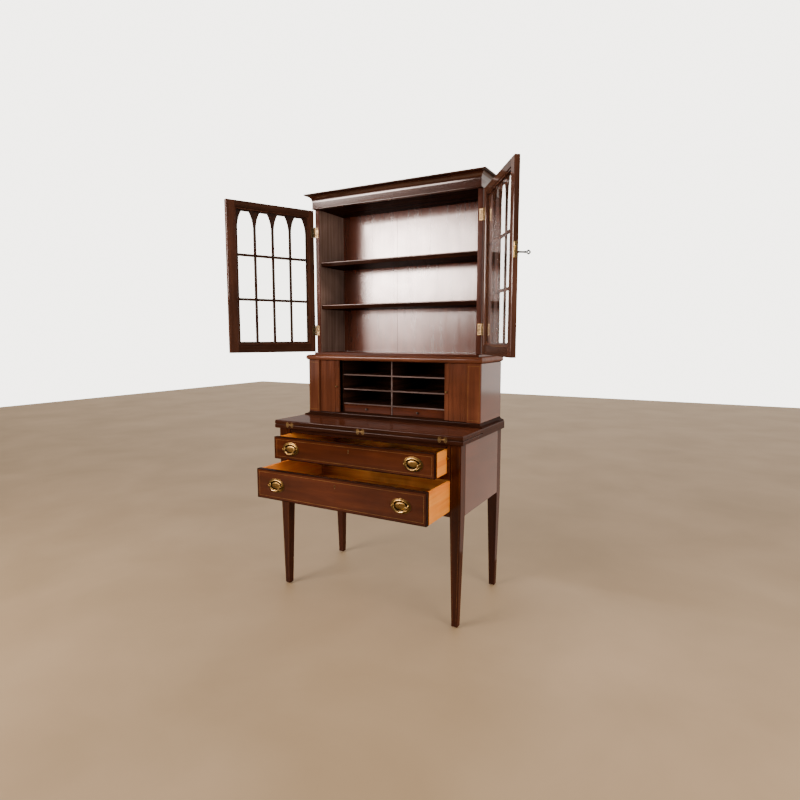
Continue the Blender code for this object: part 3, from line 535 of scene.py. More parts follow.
def bent_bar(path: Array, radius: Array, sides: int = 12, ring: bool = False) -> Shell:
    """Round bar along a path that lies in an upright plane facing front.

    At each point of the path a circle of that radius is drawn in the plane of y and of the path's
    own normal, which is its direction turned a quarter.
    """
    if ring:
        run = np.roll(path, -1, 0) - np.roll(path, 1, 0)
    else:
        run = np.gradient(path, axis=0)
    run /= np.linalg.norm(run, axis=1)[:, None]
    across = gather(-run[:, 2], 0.0, run[:, 0])
    angle = circle(sides)
    offset = (np.cos(angle)[None, :, None] * across[:, None, :]
              + np.sin(angle)[None, :, None] * np.array([0.0, 1.0, 0.0]))
    points = path[:, None, :] + radius[:, None, None] * offset
    return skin(points, capped=not ring, ring=ring)


def cut_out(outline: Array, front: float, back: float, ease: float = FINE) -> Shell:
    """Flat plate of any outline in the upright plane, with a fine chamfer at its front edge.

    The outline's (x, z) rows are scaled about their middle by a hair for the front face.
    """
    middle = outline.mean(0)
    reach = np.abs(outline - middle).max()
    inner = middle + (outline - middle) * (1 - ease / reach)
    layers = ((outline, back), (outline, front + ease), (inner, front))
    return skin(np.array([gather(flat[:, 0], y, flat[:, 1]) for flat, y in layers]))


@dataclass(frozen=True)
class Swing:
    """Turn about an upright pin that carries a door from shut to where it stands."""

    pin: tuple[float, float]
    angle: float

    def carry(self, points: Array) -> Array:
        """Points of the shut door, turned about the pin."""
        cos, sin = math.cos(self.angle), math.sin(self.angle)
        x, y = points[:, 0] - self.pin[0], points[:, 1] - self.pin[1]
        return gather(self.pin[0] + cos * x - sin * y, self.pin[1] + sin * x + cos * y, points[:, 2])


@dataclass
class Bench:
    """Puts finished forms into the scene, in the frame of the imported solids."""

    frame: dict
    origin: Array = field(init=False)
    made: int = 0

    def __post_init__(self) -> None:
        """Find the case's own frame: the middle and the back of the legs, on the floor."""
        boxes = [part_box(f"leg_{end}_{side.word}") for end in ("front", "back") for side in Hand]
        low = np.min([np.array(box[0]) for box in boxes], 0)
        high = np.max([np.array(box[1]) for box in boxes], 0)
        self.origin = np.array([(low[0] + high[0]) / 2, high[1], 0.0])

    def box(self, node: str) -> tuple[Array, Array]:
        """Lowest and highest corner of a solid, in the case's frame."""
        low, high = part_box(node)
        return np.array(low) - self.origin, np.array(high) - self.origin

    def joint(self, name: str) -> dict:
        """Joint of the record by its name."""
        return next(joint for joint in self.frame["joints"] if joint["name"] == name)

    def place(self, name: str, shells: Sequence[Shell], material: bpy.types.Material,
              body: str = "case", slot: str = "mahogany", nodes: Sequence[str] = (),
              swing: Swing | None = None, smooth: float = 32.0, ride: bool = True) -> bpy.types.Object:
        """Make a piece from its surfaces and hang it on its body.

        Args:
            name: Name of the piece.
            shells: Surfaces in the case's frame.
            material: Finish.
            body: Body that it moves with.
            slot: Material slot of the record; not used.
            nodes: Solids that it stands for.
            swing: Turn of the door that it belongs to.
            smooth: Edges flatter than this many degrees are shaded smooth.
            ride: Whether it moves with the body as one; if not, it is left unattached.

        Returns:
            The object, at the origin, with its place in its mesh.
        """
        shell = Shell.join(list(shells))
        points = swing.carry(shell.points) if swing else shell.points
        mesh = bpy.data.meshes.new(name)
        corners = np.concatenate([rows.ravel() for rows in shell.faces]).astype(np.int32)
        sizes = np.concatenate([np.full(len(rows), rows.shape[1]) for rows in shell.faces])
        mesh.vertices.add(len(points))
        mesh.vertices.foreach_set("co", (points + self.origin).astype(np.float32).ravel())
        mesh.loops.add(len(corners))
        mesh.loops.foreach_set("vertex_index", corners)
        mesh.polygons.add(len(sizes))
        starts = np.concatenate([[0], np.cumsum(sizes)[:-1]]).astype(np.int32)
        mesh.polygons.foreach_set("loop_start", starts)
        mesh.update(calc_edges=True)
        if shell.hollow is not None:
            layer = mesh.attributes.new("hollow", "FLOAT", "POINT")
            layer.data.foreach_set("value", shell.hollow.astype(np.float32))
        work = bmesh.new()
        work.from_mesh(mesh)
        bmesh.ops.remove_doubles(work, verts=work.verts, dist=1e-6)
        bmesh.ops.recalc_face_normals(work, faces=work.faces)
        work.to_mesh(mesh)
        work.free()
        mesh.shade_smooth()
        mesh.set_sharp_from_angle(angle=math.radians(smooth))
        mesh.materials.append(material)
        piece = bpy.data.objects.new(name, mesh)
        bpy.context.scene.collection.objects.link(piece)
        if ride:
            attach(piece, body)
        if nodes:
            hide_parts(*nodes)
        self.made += 1
        LOG.info("%s rides on %s: %d faces", name, body, len(mesh.polygons))
        return piece

    def board(self, node: str, wood: Wood, grain: Grain, body: str = "case", slot: str = "mahogany",
              ease: float = 0.0012) -> bpy.types.Object:
        """Board with eased arrises in the place of a plain solid."""
        return self.place(f"{node}_board", [block(*self.box(node), ease)], wood.material(grain), body,
                          slot, [node])


def knob_form(x: float, face: float, z: float, radius: float) -> Shell:
    """Small turned knob: a neck, a collar and a flattened ball that stands out of a face."""
    angle = np.linspace(-0.75, QUARTER, 9)
    ball = gather(radius * np.cos(angle), face - KNOB_OUT * (0.62 + 0.38 * np.sin(angle)))
    foot = [(radius * 0.75, face + 0.001), (radius * 0.75, face - KNOB_OUT * 0.08),
            (radius * 0.45, face - KNOB_OUT * 0.16), (radius * 0.42, face - KNOB_OUT * 0.30)]
    return turned([*foot, *ball], (x, 0.0, z), Grain.DEEP)


def screw_form(x: float, face: float, z: float, radius: float = 0.0022) -> Shell:
    """Head of a countersunk wood screw: all but flush, with a dark ring at its rim."""
    profile = [(radius, face + 0.0004), (radius, face - 0.00003), (radius * 0.8, face - 0.00006),
               (radius * 0.35, face - 0.00008), (HAIR, face - 0.00008)]
    sides = 14
    form = turned(profile, (x, 0.0, z), Grain.DEEP, sides)
    form.hollow = np.repeat([1.0, 1.0, 0.75, 0.35, 0.7], sides)
    return form


@dataclass
class LowerCase:
    """Legs, panels, rails, writing boards and the leaf with its hinges.

    The lean is how far a foot's outer corner stands in from its post's, along x and y. The overhang is
    that of the writing boards, at the sides and at the front. Line ends are the distances of a leg's
    lines from the floor and from the post's head. The seam-shadow heights, for the bed and for the leaf,
    are the heights of the dark strips in the seam of the leaf, from the bed's top: painted shadow for the
    shade in that groove. Knuckles are half the middle one's length, and where the outer ones start and end.
    """

    post: float = 0.045
    foot: float = 0.026
    lean: tuple[float, float] = (0.0095, 0.004)
    arris: float = 0.0014
    apron: float = 0.451
    bend_drop: float = 0.004
    glide: float = 0.0050
    glide_form: Sequence[tuple[float, float]] = ((0.0070, 0.0), (0.0092, 0.0010), (0.0104, 0.0028),
                                                 (0.0104, 0.0044), (0.0060, 0.0060))
    line_in: float = 0.0062
    line_ends: tuple[float, float] = (0.030, 0.012)
    rail: float = 0.042
    dust: float = 0.009
    board: float = 0.018
    top_round: float = 0.004
    overhang: tuple[float, float] = (0.0140, 0.016)
    rail_in: float = 0.0615
    seam_end: float = 0.004
    seam_back: tuple[float, float] = (0.0006, 0.006)
    bed_seam: tuple[float, float] = (-0.0030, -0.0001)
    leaf_seam: tuple[float, float] = (0.0004, 0.0033)
    hinge_half: float = 0.0200
    hinge_deep: float = 0.0122
    hinge_x: float = 0.374
    hinge_band: float = 0.0022
    hinge_proud: float = 0.0005
    hinge_gap: float = 0.0004
    lobe: float = 0.64
    screw_share: float = 0.58
    barrel: float = 0.0018
    barrel_at: tuple[float, float] = (0.0006, 0.00015)
    knuckles: tuple[float, float, float] = (0.0039, 0.0042, 0.0120)
    knob: float = 0.0046
    knob_up: float = 0.0607

    @property
    def bend(self) -> float:
        """Height from which the legs taper."""
        return self.apron - self.bend_drop

    def build(self, bench: Bench) -> None:
        """Make every piece of the lower case."""
        self.legs(bench)
        self.panels(bench)
        self.boards(bench)
        self.leaf(bench)
        self.lopers(bench)

    def leg_form(self, outer: Array, inward: Array, top: float) -> Shell:
        """Post that tapers below the apron: a square with planed arrises at each level.

        Args:
            outer: Outer corner (x, y) of the post.
            inward: Signs that point from that corner into the post.
            top: Height of its head.

        Returns:
            The surface; each level is an octagon, the square less its corners.
        """
        levels = ((self.glide, self.foot, 1.0), (self.bend, self.post, 0.0), (top, self.post, 0.0))
        unit = np.array([(0, 1), (0, 0), (0, 0), (1, 0), (1, 0), (1, 1), (1, 1), (0, 1)], float)
        nudge = np.array([(0, -1), (0, 1), (1, 0), (-1, 0), (0, 1), (0, -1), (-1, 0), (1, 0)], float)
        rings = []
        for z, size, share in levels:
            flat = outer + inward * (share * np.array(self.lean) + unit * size + nudge * self.arris)
            rings.append(gather(*flat.T, z))
        return skin(np.array(rings))

    def legs(self, bench: Bench) -> None:
        """Four legs, the lines let into the front ones, and the glides under them."""
        glides, lines = [], []
        for end, inward_y in (("front", 1), ("back", -1)):
            for side in Hand:
                node = f"leg_{end}_{side.word}"
                low, high = bench.box(node)
                outer = np.array([low[0] if side is Hand.LEFT else high[0],
                                  low[1] if end == "front" else high[1]])
                inward = np.array([-side.value, inward_y], float)
                leg = self.leg_form(outer, inward, high[2])
                bench.place(f"{node}_post", [leg], LEGS.material(Grain.UPRIGHT), nodes=[node])
                middle = outer + inward * (np.array(self.lean) + self.foot / 2)
                glides.append(turned(self.glide_form, (*middle, 0.0), Grain.UPRIGHT))
                if end == "front":
                    lines += self.leg_lines(outer, side, high[2])
        bench.place("foot_glides", glides, NICKEL.material(), "case", "iron")
        bench.place("leg_lines", lines, FAINT.material(Grain.UPRIGHT))

    def leg_lines(self, outer: Array, side: Hand, top: float) -> list[Shell]:
        """Pair of thin lines down the front of a post and its leg.

        Each line keeps one distance from its edge: below the apron its x and y run with the taper, in
        proportion to the way down to the foot.
        """
        z = np.array([self.line_ends[0], self.bend, top - self.line_ends[1]])
        share = np.clip((self.bend - z) / (self.bend - self.glide), 0, 1)
        size = self.post + (self.foot - self.post) * share
        lean = share[:, None] * np.array(self.lean)
        return [self.line_form(outer[0] - side.value * (lean[:, 0] + inset), outer[1] + lean[:, 1], z)
                for inset in (self.line_in, size - self.line_in)]

    @staticmethod
    def line_form(x: Array, face: Array, z: Array, half: float = 0.0006, proud: float = 0.00015) -> Shell:
        """Thin upright line that follows a leaning face: a flat bar carried from height to height."""
        corners = np.array([(-half, -proud), (half, -proud), (half, half), (-half, half)])
        flat = gather(x, face)[:, None, :] + corners
        return skin(gather(flat[..., 0], flat[..., 1], z[:, None]))

    def panels(self, bench: Bench) -> None:
        """Side panels, back panel, and the rails with the dust panels behind them."""
        for side in Hand:
            bench.board(f"side_panel_{side.word}", SIDES, Grain.DEEP)
        bench.board("base_back_panel", INSIDE, Grain.ACROSS, slot="inside")
        for node in ("drawer_divider", "bottom_frame"):
            low, high = bench.box(node)
            split = low[1] + self.rail
            shells = [block(low, (high[0], split, high[2])),
                      block((low[0], split, high[2] - self.dust), high, ease=0.0005)]
            bench.place(f"{node}_rail", shells, DARK.material(Grain.ACROSS), nodes=[node])

    def boards(self, bench: Bench) -> None:
        """Writing bed with the rail under it, and the rear top."""
        low, high = bench.box("writing_bed")
        rear_low, rear_high = bench.box("rear_top")
        under = high[2] - self.board
        step = np.array([0.0, rear_low[1] - low[1], 0.0])
        inset = self.overhang[0] + self.rail_in
        face = low[1] + self.overhang[1]
        shells = [self.top_form(low, np.array([high[0], rear_low[1], high[2]]), under),
                  self.top_form(low + step, high, under, front=0.0, over=False),
                  block((low[0] + inset, face, low[2]), (high[0] - inset, face + self.rail, under))]
        bench.place("writing_bed_board", shells, LEAF.material(Grain.ACROSS), nodes=["writing_bed"])
        rear = self.top_form(rear_low, rear_high, rear_low[2], front=0.0, under=False)
        bench.place("rear_top_board", [rear], LEAF.material(Grain.ACROSS), nodes=["rear_top"])

    def top_form(self, low: Array, high: Array, foot: float, front: float = 1.0, under: bool = True,
                 over: bool = True) -> Shell:
        """Board with rounded ends and front.

        Args:
            low: Lowest corner; its z isn't used.
            high: Highest corner.
            foot: Height of the underside.
            front: 0 leaves the front edge square.
            under: Whether the lower arris is rounded.
            over: Whether the upper arris is rounded.

        Returns:
            The surface.
        """
        edge = rounded_edge(foot, high[2], self.top_round)
        half = len(edge) // 2
        edge[:half] = edge[:half] if under else (foot, 0.0)
        edge[half:] = edge[half:] if over else (high[2], 0.0)
        middle = (low[0] + high[0]) / 2
        return moulded((high[0] - low[0]) / 2, low[1], high[1], edge, ahead=front).moved(x=middle)

    def leaf(self, bench: Bench) -> None:
        """Writing leaf, the dark strips of painted shadow in its seam, and the brass hinges let into the two
        front edges.
        """
        low, high = bench.box("writing_leaf")
        bench.place("writing_leaf_board", [self.top_form(low, high, low[2])],
                    LEAF.material(Grain.ACROSS), "writing_leaf", "mahogany", ["writing_leaf"])
        seam_shadow = bench.box("writing_bed")[1][2]
        front = low[1]
        # Dark strips on the bed and on the leaf, set back in the groove of the seam: painted shadow for the
        # shade in that groove.
        seam_shadows = (("bed", "case", self.bed_seam), ("leaf", "writing_leaf", self.leaf_seam))
        for half, body, (under, over) in seam_shadows:
            strip = block((low[0] + self.seam_end, front + self.seam_back[0], seam_shadow + under),
                          (high[0] - self.seam_end, front + self.seam_back[1], seam_shadow + over), FINE)
            bench.place(f"{half}_seam", [strip], INSIDE.material(Grain.ACROSS), body, "inside")
        for word, middle in (("left", -self.hinge_x), ("middle", 0.0), ("right", self.hinge_x)):
            for half, way, body in (("bed", -1, "case"), ("leaf", 1, "writing_leaf")):
                shells = self.hinge_plate(middle, seam_shadow, front, way)
                nodes = [f"leaf_hinge_{word}"] if half == "bed" else []
                bench.place(f"leaf_hinge_{word}_{half}", shells, OLD.material(), body, "brass", nodes)

    def hinge_plate(self, middle: float, seam_shadow: float, front: float, way: int) -> list[Shell]:
        """One half of a hinge: a plate of two round lobes, its screws and its share of the barrel.

        The plate's depth below or above the seam is a band plus, near each lobe's middle, a half
        circle: depth = band + lobe * sqrt(1 - ((|x| - lobe middle) / lobe half width) ** 2).
        """
        lobe, face = self.hinge_half * self.lobe, front - self.hinge_proud
        x = np.linspace(-self.hinge_half, self.hinge_half, 61)
        spread = 1 - ((np.abs(x) - lobe) / (self.hinge_half - lobe)) ** 2
        depth = self.hinge_band + (self.hinge_deep - self.hinge_band) * np.sqrt(np.clip(spread, 0, 1))
        near = seam_shadow + way * self.hinge_gap
        far = gather(middle + x, seam_shadow + way * depth)
        outline = np.concatenate([far, [(middle + x[-1], near), (middle + x[0], near)]])
        screw_z = seam_shadow + way * self.hinge_deep * self.screw_share
        shells = [cut_out(outline, face, front + SUNK)]
        shells += [screw_form(middle + side * lobe, face, screw_z) for side in (-1, 1)]
        inner, start, end = self.knuckles
        out, up = self.barrel_at
        for first, last in ((-end, -start), (start, end)) if way < 0 else ((-inner, inner),):
            shells.append(turned([(self.barrel, middle + first), (self.barrel, middle + last)],
                                 (0.0, front - out, seam_shadow + up), Grain.ACROSS, 16))
        return shells

    def lopers(self, bench: Bench) -> None:
        """Two lopers, each a bar with a small brass knob."""
        for side in Hand:
            node = f"loper_{side.word}"
            low, high = bench.box(node)
            face = low[1] + KNOB_OUT
            bar = block((low[0], face, low[2]), high)
            bench.place(f"{node}_bar", [bar], DARK.material(Grain.DEEP), f"{side.word}_loper", "mahogany",
                        [node])
            knob = knob_form((low[0] + high[0]) / 2, face, low[2] + self.knob_up, self.knob)
            bench.place(f"{node}_knob", [knob], BRASS.material(), f"{side.word}_loper", "brass")


@dataclass
class Pull:
    """Oval plate with two posts, and the bail that hangs from them."""

    wide: float = 0.085
    tall: float = 0.058
    spread: float = 0.062
    pivot_out: float = 0.011
    drop: float = 0.0205
    post_room: float = 0.0048
    bail_end: float = 0.002
    bar: float = 0.0018
    swell: float = 0.0010
    sides: int = 72

    def plate_form(self, x: float, face: float, z: float) -> Shell:
        """Stamped oval: at each share of the way out from the middle a height, and an ellipse there.

        The heights make a crowned boss, a deep ring round it, a raised bead and a low flange. The
        upright reach is the share to the power 1.4, so the inner ovals are flatter than the outer.
        """
        share = np.array([0.002, 0.14, 0.28, 0.40, 0.48, 0.53, 0.56, 0.59, 0.63, 0.67, 0.71, 0.74, 0.77,
                          0.80, 0.83, 0.86, 0.90, 0.94, 0.975, 1.0, 1.0])
        height = np.array([3.0, 2.95, 2.8, 2.5, 2.15, 1.8, 1.2, 0.8, 0.7, 0.8, 1.2, 2.2, 3.0, 3.2, 2.7,
                           1.9, 1.4, 1.3, 1.2, 0.8, 0.0]) * 0.001
        grime = np.array([0.3, 0.25, 0.2, 0.2, 0.1, 0.25, 0.7, 1.0, 1.0, 1.0, 0.85, 0.3, 0.0, 0.0, 0.15,
                          0.5, 0.7, 0.6, 0.5, 0.7, 0.9])
        angle = circle(self.sides)
        form = skin(gather(x + self.wide / 2 * share[:, None] * np.cos(angle), (face - height)[:, None],
                           z + self.tall / 2 * share[:, None] ** 1.4 * np.sin(angle)))
        form.hollow = np.repeat(grime, self.sides)
        return form

    def post_form(self, x: float, face: float, z: float) -> Shell:
        """Turned post: a collar on the plate, a waist, and a round head in front of the bail."""
        profile = [(0.0052, face + 0.0002), (0.0052, face - 0.0030), (0.0034, face - 0.0040),
                   (0.0034, face - 0.0068), (0.0044, face - 0.0080), (0.0047, face - 0.0110),
                   (0.0044, face - 0.0132), (0.0030, face - 0.0147), (0.0008, face - 0.0152)]
        return turned(profile, (x, 0.0, z), Grain.DEEP, 18)

    def bail_form(self, x: float, face: float, z: float) -> Shell:
        """Hanging bail: half an ellipse of round bar, thicker in the middle, with straight ends.

        The radius grows with the sine of the way round; the path is (-arm cos t, -drop sin t).
        """
        reach = self.spread / 2 - self.post_room
        turn = np.linspace(0, math.pi, 33)
        arc = gather(-(reach - self.bail_end) * np.cos(turn), 0.0, -self.drop * np.sin(turn))
        path = np.concatenate([[(-reach, 0, 0)], arc, [(reach, 0, 0)]])
        radius = np.concatenate([[self.bar], self.bar + self.swell * np.sin(turn) ** 1.5, [self.bar]])
        return bent_bar(path + np.array([x, face - self.pivot_out, z]), radius)


@dataclass
class LongDrawer:
    """Long drawer: front with its beaded edge, inlaid line and keyhole, the box, and two pulls.

    The keyhole's rim and its hole, a dark plate of painted shade, are given by their radius and how far they
    stand proud.
    """

    tier: str
    pull: Pull = field(default_factory=Pull)
    side: float = 0.011
    floor: float = 0.008
    bead: float = 0.0032
    line_in: float = 0.0115
    line: float = 0.0011
    face_in: float = 0.0004
    line_back: float = 0.0002
    bead_proud: float = 0.0003
    plate_proud: float = 0.0002
    floor_up: float = 0.001
    keyhole_down: float = 0.026
    key_rim: tuple[float, float] = (0.0036, 0.0004)
    key_hole: tuple[float, float] = (0.0024, 0.0006)

    def build(self, bench: Bench) -> None:
        """Make the drawer."""
        body = f"{self.tier}_drawer"
        low, high = bench.box(f"{body}_front")
        self.front(bench, body, low, high)
        self.box(bench, body)
        middle = (low[2] + high[2]) / 2
        for side in Hand:
            plate = bench.box(f"{body}_{side.word}_plate")
            x = (plate[0][0] + plate[1][0]) / 2
            shells = [self.pull.plate_form(x, low[1] - self.plate_proud, middle)]
            for end in (-1, 1):
                shells.append(self.pull.post_form(x + end * self.pull.spread / 2, low[1], middle))
            bench.place(f"{body}_{side.word}_pull", shells, BRASS.material(), body, "brass",
                        [f"{body}_{side.word}_plate"], smooth=50)
            bench.place(f"{body}_{side.word}_handle", [self.pull.bail_form(x, low[1], middle)],
                        BRIGHT.material(), f"{self.tier}_{side.word}_bail", "brass",
                        [f"{body}_{side.word}_bail"], smooth=60)

    def front(self, bench: Bench, body: str, low: Array, high: Array) -> None:
        """Figured front, dark bead round it, line let into it, and the keyhole."""
        inset, face = self.bead, low[1] + self.face_in
        board = block((low[0] + inset, face, low[2] + inset),
                      (high[0] - inset, high[1], high[2] - inset), ease=0.0006)
        bench.place(f"{body}_face", [board], FRONTS.material(Grain.ACROSS), body, "mahogany",
                    [f"{body}_front"])
        beads = frame_strips((low[0], low[2]), (high[0], high[2]), inset, low[1] - self.bead_proud, high[1])
        bench.place(f"{body}_bead", beads, MATT.material(Grain.ACROSS), body, "mahogany")
        gap = self.line_in
        lines = frame_strips((low[0] + gap, low[2] + gap), (high[0] - gap, high[2] - gap), self.line,
                             low[1] + self.line_back, low[1] + SUNK)
        bench.place(f"{body}_line", lines, STRING.material(Grain.ACROSS), body, "mahogany")
        self.keyhole(bench, body, (low[0] + high[0]) / 2, face, high[2] - self.keyhole_down)

    def keyhole(self, bench: Bench, body: str, x: float, face: float, z: float) -> None:
        """Brass rim of a keyhole, and the hole in it, both a circle with a flaring tail below; the hole is a
        flat dark plate of painted shade that stands just in front of the rim.
        """
        angle = np.linspace(math.radians(-60), math.radians(240), 25)
        outline = np.concatenate([gather(np.cos(angle), np.sin(angle)), [(-0.75, -3.0), (0.75, -3.0)]])
        rim, hole = [cut_out(outline * radius + np.array([x, z]), face - proud, face + SUNK)
                     for radius, proud in (self.key_rim, self.key_hole)]
        bench.place(f"{body}_key_rim", [rim], OLD.material(), body, "brass")
        # The hole: a dark plate painted as the shade inside the keyhole.
        bench.place(f"{body}_key_hole", [hole], INSIDE.material(Grain.UPRIGHT), body, "inside")

    def box(self, bench: Bench, body: str) -> None:
        """Sides, back and floor of the box."""
        low, high = bench.box(f"{body}_box")
        wall = self.side
        sides = [block((x0, low[1], low[2]), (x0 + wall, high[1], high[2]))
                 for x0 in (low[0], high[0] - wall)]
        bench.place(f"{body}_sides", sides, TAN.material(Grain.DEEP), body, "drawer", [f"{body}_box"])
        inner_low, inner_high = low[0] + wall, high[0] - wall
        rest = [block((inner_low, high[1] - wall, low[2]), (inner_high, high[1], high[2])),
                block((inner_low, low[1], low[2] + self.floor_up),
                      (inner_high, high[1] - wall, low[2] + self.floor))]
        bench.place(f"{body}_floor", rest, LINING.material(Grain.ACROSS), body, "drawer")


@dataclass
class TambourCase:
    """Moulded floor, sides with pilasters, back and waist board."""

    depth: float = 0.258
    half: float = 0.4395
    board: float = 0.018
    pilaster: float = 0.060
    pilaster_thick: float = 0.0085
    moulding: float = 0.0165
    nose: float = 0.0045
    nose_ease: float = 0.0008
    waist: float = 0.025
    waist_out: float = 0.009
    waist_flat: float = 0.0008
    line: float = 0.0012
    line_in: float = 0.0042
    line_end: float = 0.010
    line_proud: float = 0.0002
    line_deep: float = 0.0006

    def build(self, bench: Bench) -> None:
        """Make every fixed piece of the tambour case."""
        self.floor(bench)
        self.sides(bench)
        bench.board("tambour_case_back", INSIDE, Grain.ACROSS, slot="inside")
        self.waist_board(bench)

    def floor(self, bench: Bench) -> None:
        """Floor whose edge is a cove above a square nose: growth = out * (1 - sin t)."""
        low, high = bench.box("base_moulding")
        turn = np.linspace(0, QUARTER, 15)
        rise = self.moulding - self.nose
        out = self.moulding * (1 - np.sin(turn))
        z = high[2] - rise * np.cos(turn)
        ease = self.nose_ease
        edge = np.concatenate([[(low[2], self.moulding - ease), (low[2] + ease, self.moulding),
                                (z[0] - ease, self.moulding)], gather(z, out)])
        bench.place("base_moulding_floor", [moulded(self.half, -self.depth, 0.0, edge)],
                    MATT.material(Grain.ACROSS), nodes=["base_moulding"])

    def sides(self, bench: Bench) -> None:
        """Side boards, the pilasters in front of them, and the lines let into those."""
        lines = []
        for side in Hand:
            node = f"tambour_case_side_{side.word}"
            low, high = bench.box(node)
            edge = -self.depth + self.pilaster_thick
            wall = block((self.half - self.board, edge, low[2]), (self.half, 0.0, high[2]))
            bench.place(f"{node}_wall", [wall.mirrored(side.value)], SIDES.material(Grain.DEEP), nodes=[node])
            strip = block((self.half - self.pilaster, -self.depth, low[2]), (self.half, edge, high[2]))
            bench.place(f"pilaster_{side.word}", [strip.mirrored(side.value)],
                        REEDED.material(Grain.UPRIGHT))
            ring = frame_strips((self.half - self.pilaster + self.line_in, low[2] + self.line_end),
                                (self.half - self.line_in, high[2] - self.line_end), self.line,
                                -self.depth - self.line_proud, -self.depth + self.line_deep)
            lines += [strip.mirrored(side.value) for strip in ring]
        bench.place("pilaster_lines", lines, STRING.material(Grain.UPRIGHT))

    def waist_board(self, bench: Bench) -> None:
        """Round-nosed board, and the plinth that the bookcase stands on."""
        low, high = bench.box("waist_board")
        edge = rounded_edge(low[2], low[2] + self.waist, self.waist / 2 - self.waist_flat, 12)
        edge[:, 1] += self.waist_out
        board = moulded(self.half, -self.depth, 0.0, edge)
        case_low, case_high = bench.box("bookcase_side_left")[0], bench.box("bookcase_side_right")[1]
        front = case_low[1] - DOOR_ROOM
        plinth = block((case_low[0], front, low[2] + self.waist), (case_high[0], 0.0, high[2]),
                       ease=0.0012)
        bench.place("waist_nosing", [board], REEDED.material(Grain.ACROSS), nodes=["waist_board"])
        bench.place("bookcase_plinth", [plinth], MAHOGANY.material(Grain.ACROSS))


@dataclass
class Tambour:
    """One tambour: lead stile with its knob, rounded slats, and the curtain that follows them."""

    hand: Hand
    stile: float = 0.022
    stile_thick: float = 0.013
    stile_ease: float = 0.0022
    knob: float = 0.0048
    slats: int = 12
    slat_share: float = 0.985
    reed: float = 0.0014
    thick: float = 0.006
    curtain_slats: int = 25
    curtain_room: float = 0.0118
    curtain_gap: float = 0.0002

    def build(self, bench: Bench) -> None:
        """Make the tambour."""
        node = f"tambour_{self.hand.word}"
        body = f"{self.hand.word}_tambour"
        low, high = bench.box(node)
        face = low[1] + KNOB_OUT
        lead = low[0] if self.hand is Hand.RIGHT else -high[0]
        tail = high[0] if self.hand is Hand.RIGHT else -low[0]
        foot, head = low[2], high[2]
        stile = block((lead, face, foot), (lead + self.stile, face + self.stile_thick, head),
                      self.stile_ease)
        edges = np.linspace(lead + self.stile, tail, self.slats + 1)
        slats = self.reeds(edges, face, foot, head)
        bench.place(f"{node}_stile", [stile.mirrored(self.hand.value)], REEDED.material(Grain.UPRIGHT),
                    body, "tambour")
        bench.place(f"{node}_slats", [slats.mirrored(self.hand.value)], REEDED.material(Grain.UPRIGHT),
                    body, "tambour", [node], smooth=40)
        knob = knob_form(lead + self.stile / 2, face, (foot + head) / 2, self.knob)
        bench.place(f"{node}_knob", [knob.mirrored(self.hand.value)], OLD.material(), body, "brass")
        self.curtain(bench, body, tail, face, foot, head)

    def reeds(self, edges: Array, face: float, foot: float, head: float, fine: int = 8) -> Shell:
        """Run of rounded slats.

        Across each slat the front stands back by reed * (1 - sqrt(1 - u ** 2)), u being 0 in its middle
        and 1 at its edges, where a hair is left open; the back is flat. The section is carried upright
        from foot to head.
        """
        u = np.linspace(-1, 1, fine) * self.slat_share
        middle, half = (edges[1:] + edges[:-1]) / 2, np.diff(edges) / 2
        x = (middle[:, None] + half[:, None] * u).ravel()
        y = np.tile(face + self.reed * (1 - np.sqrt(1 - u ** 2)), len(middle))
        back = face + self.thick
        section = np.concatenate([gather(x, y), [(x[-1], back), (x[0], back)]])
        return skin(np.array([gather(*section.T, z) for z in (foot, head)]))

    def curtain(self, bench: Bench, body: str, tail: float, face: float, foot: float,
                head: float) -> None:
        """Slats packed behind the pilaster, at the places from which they would spread out evenly as the
        tambour is drawn.

        When the tambour has gone its whole way, a point that follows it by the share w has moved by w
        times that way. Shares that grow evenly spread the slats evenly, so their packed places are
        where the smooth step s(t) = t * t * (3 - 2 * t) has those values.
        """
        steps = np.linspace(0, 1, 2001)
        share = np.linspace(0, 1, self.curtain_slats + 1)
        place = np.interp(share, steps * steps * (3 - 2 * steps), steps)
        start = tail + self.curtain_gap + self.curtain_room
        edges = (start - place * self.curtain_room)[::-1]
        form = self.reeds(edges, face, foot, head)
        sign = self.hand.value
        piece = bench.place(f"tambour_{self.hand.word}_curtain", [form.mirrored(sign)],
                            REEDED.material(Grain.UPRIGHT), body, "tambour", smooth=60, ride=False)
        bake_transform(piece)


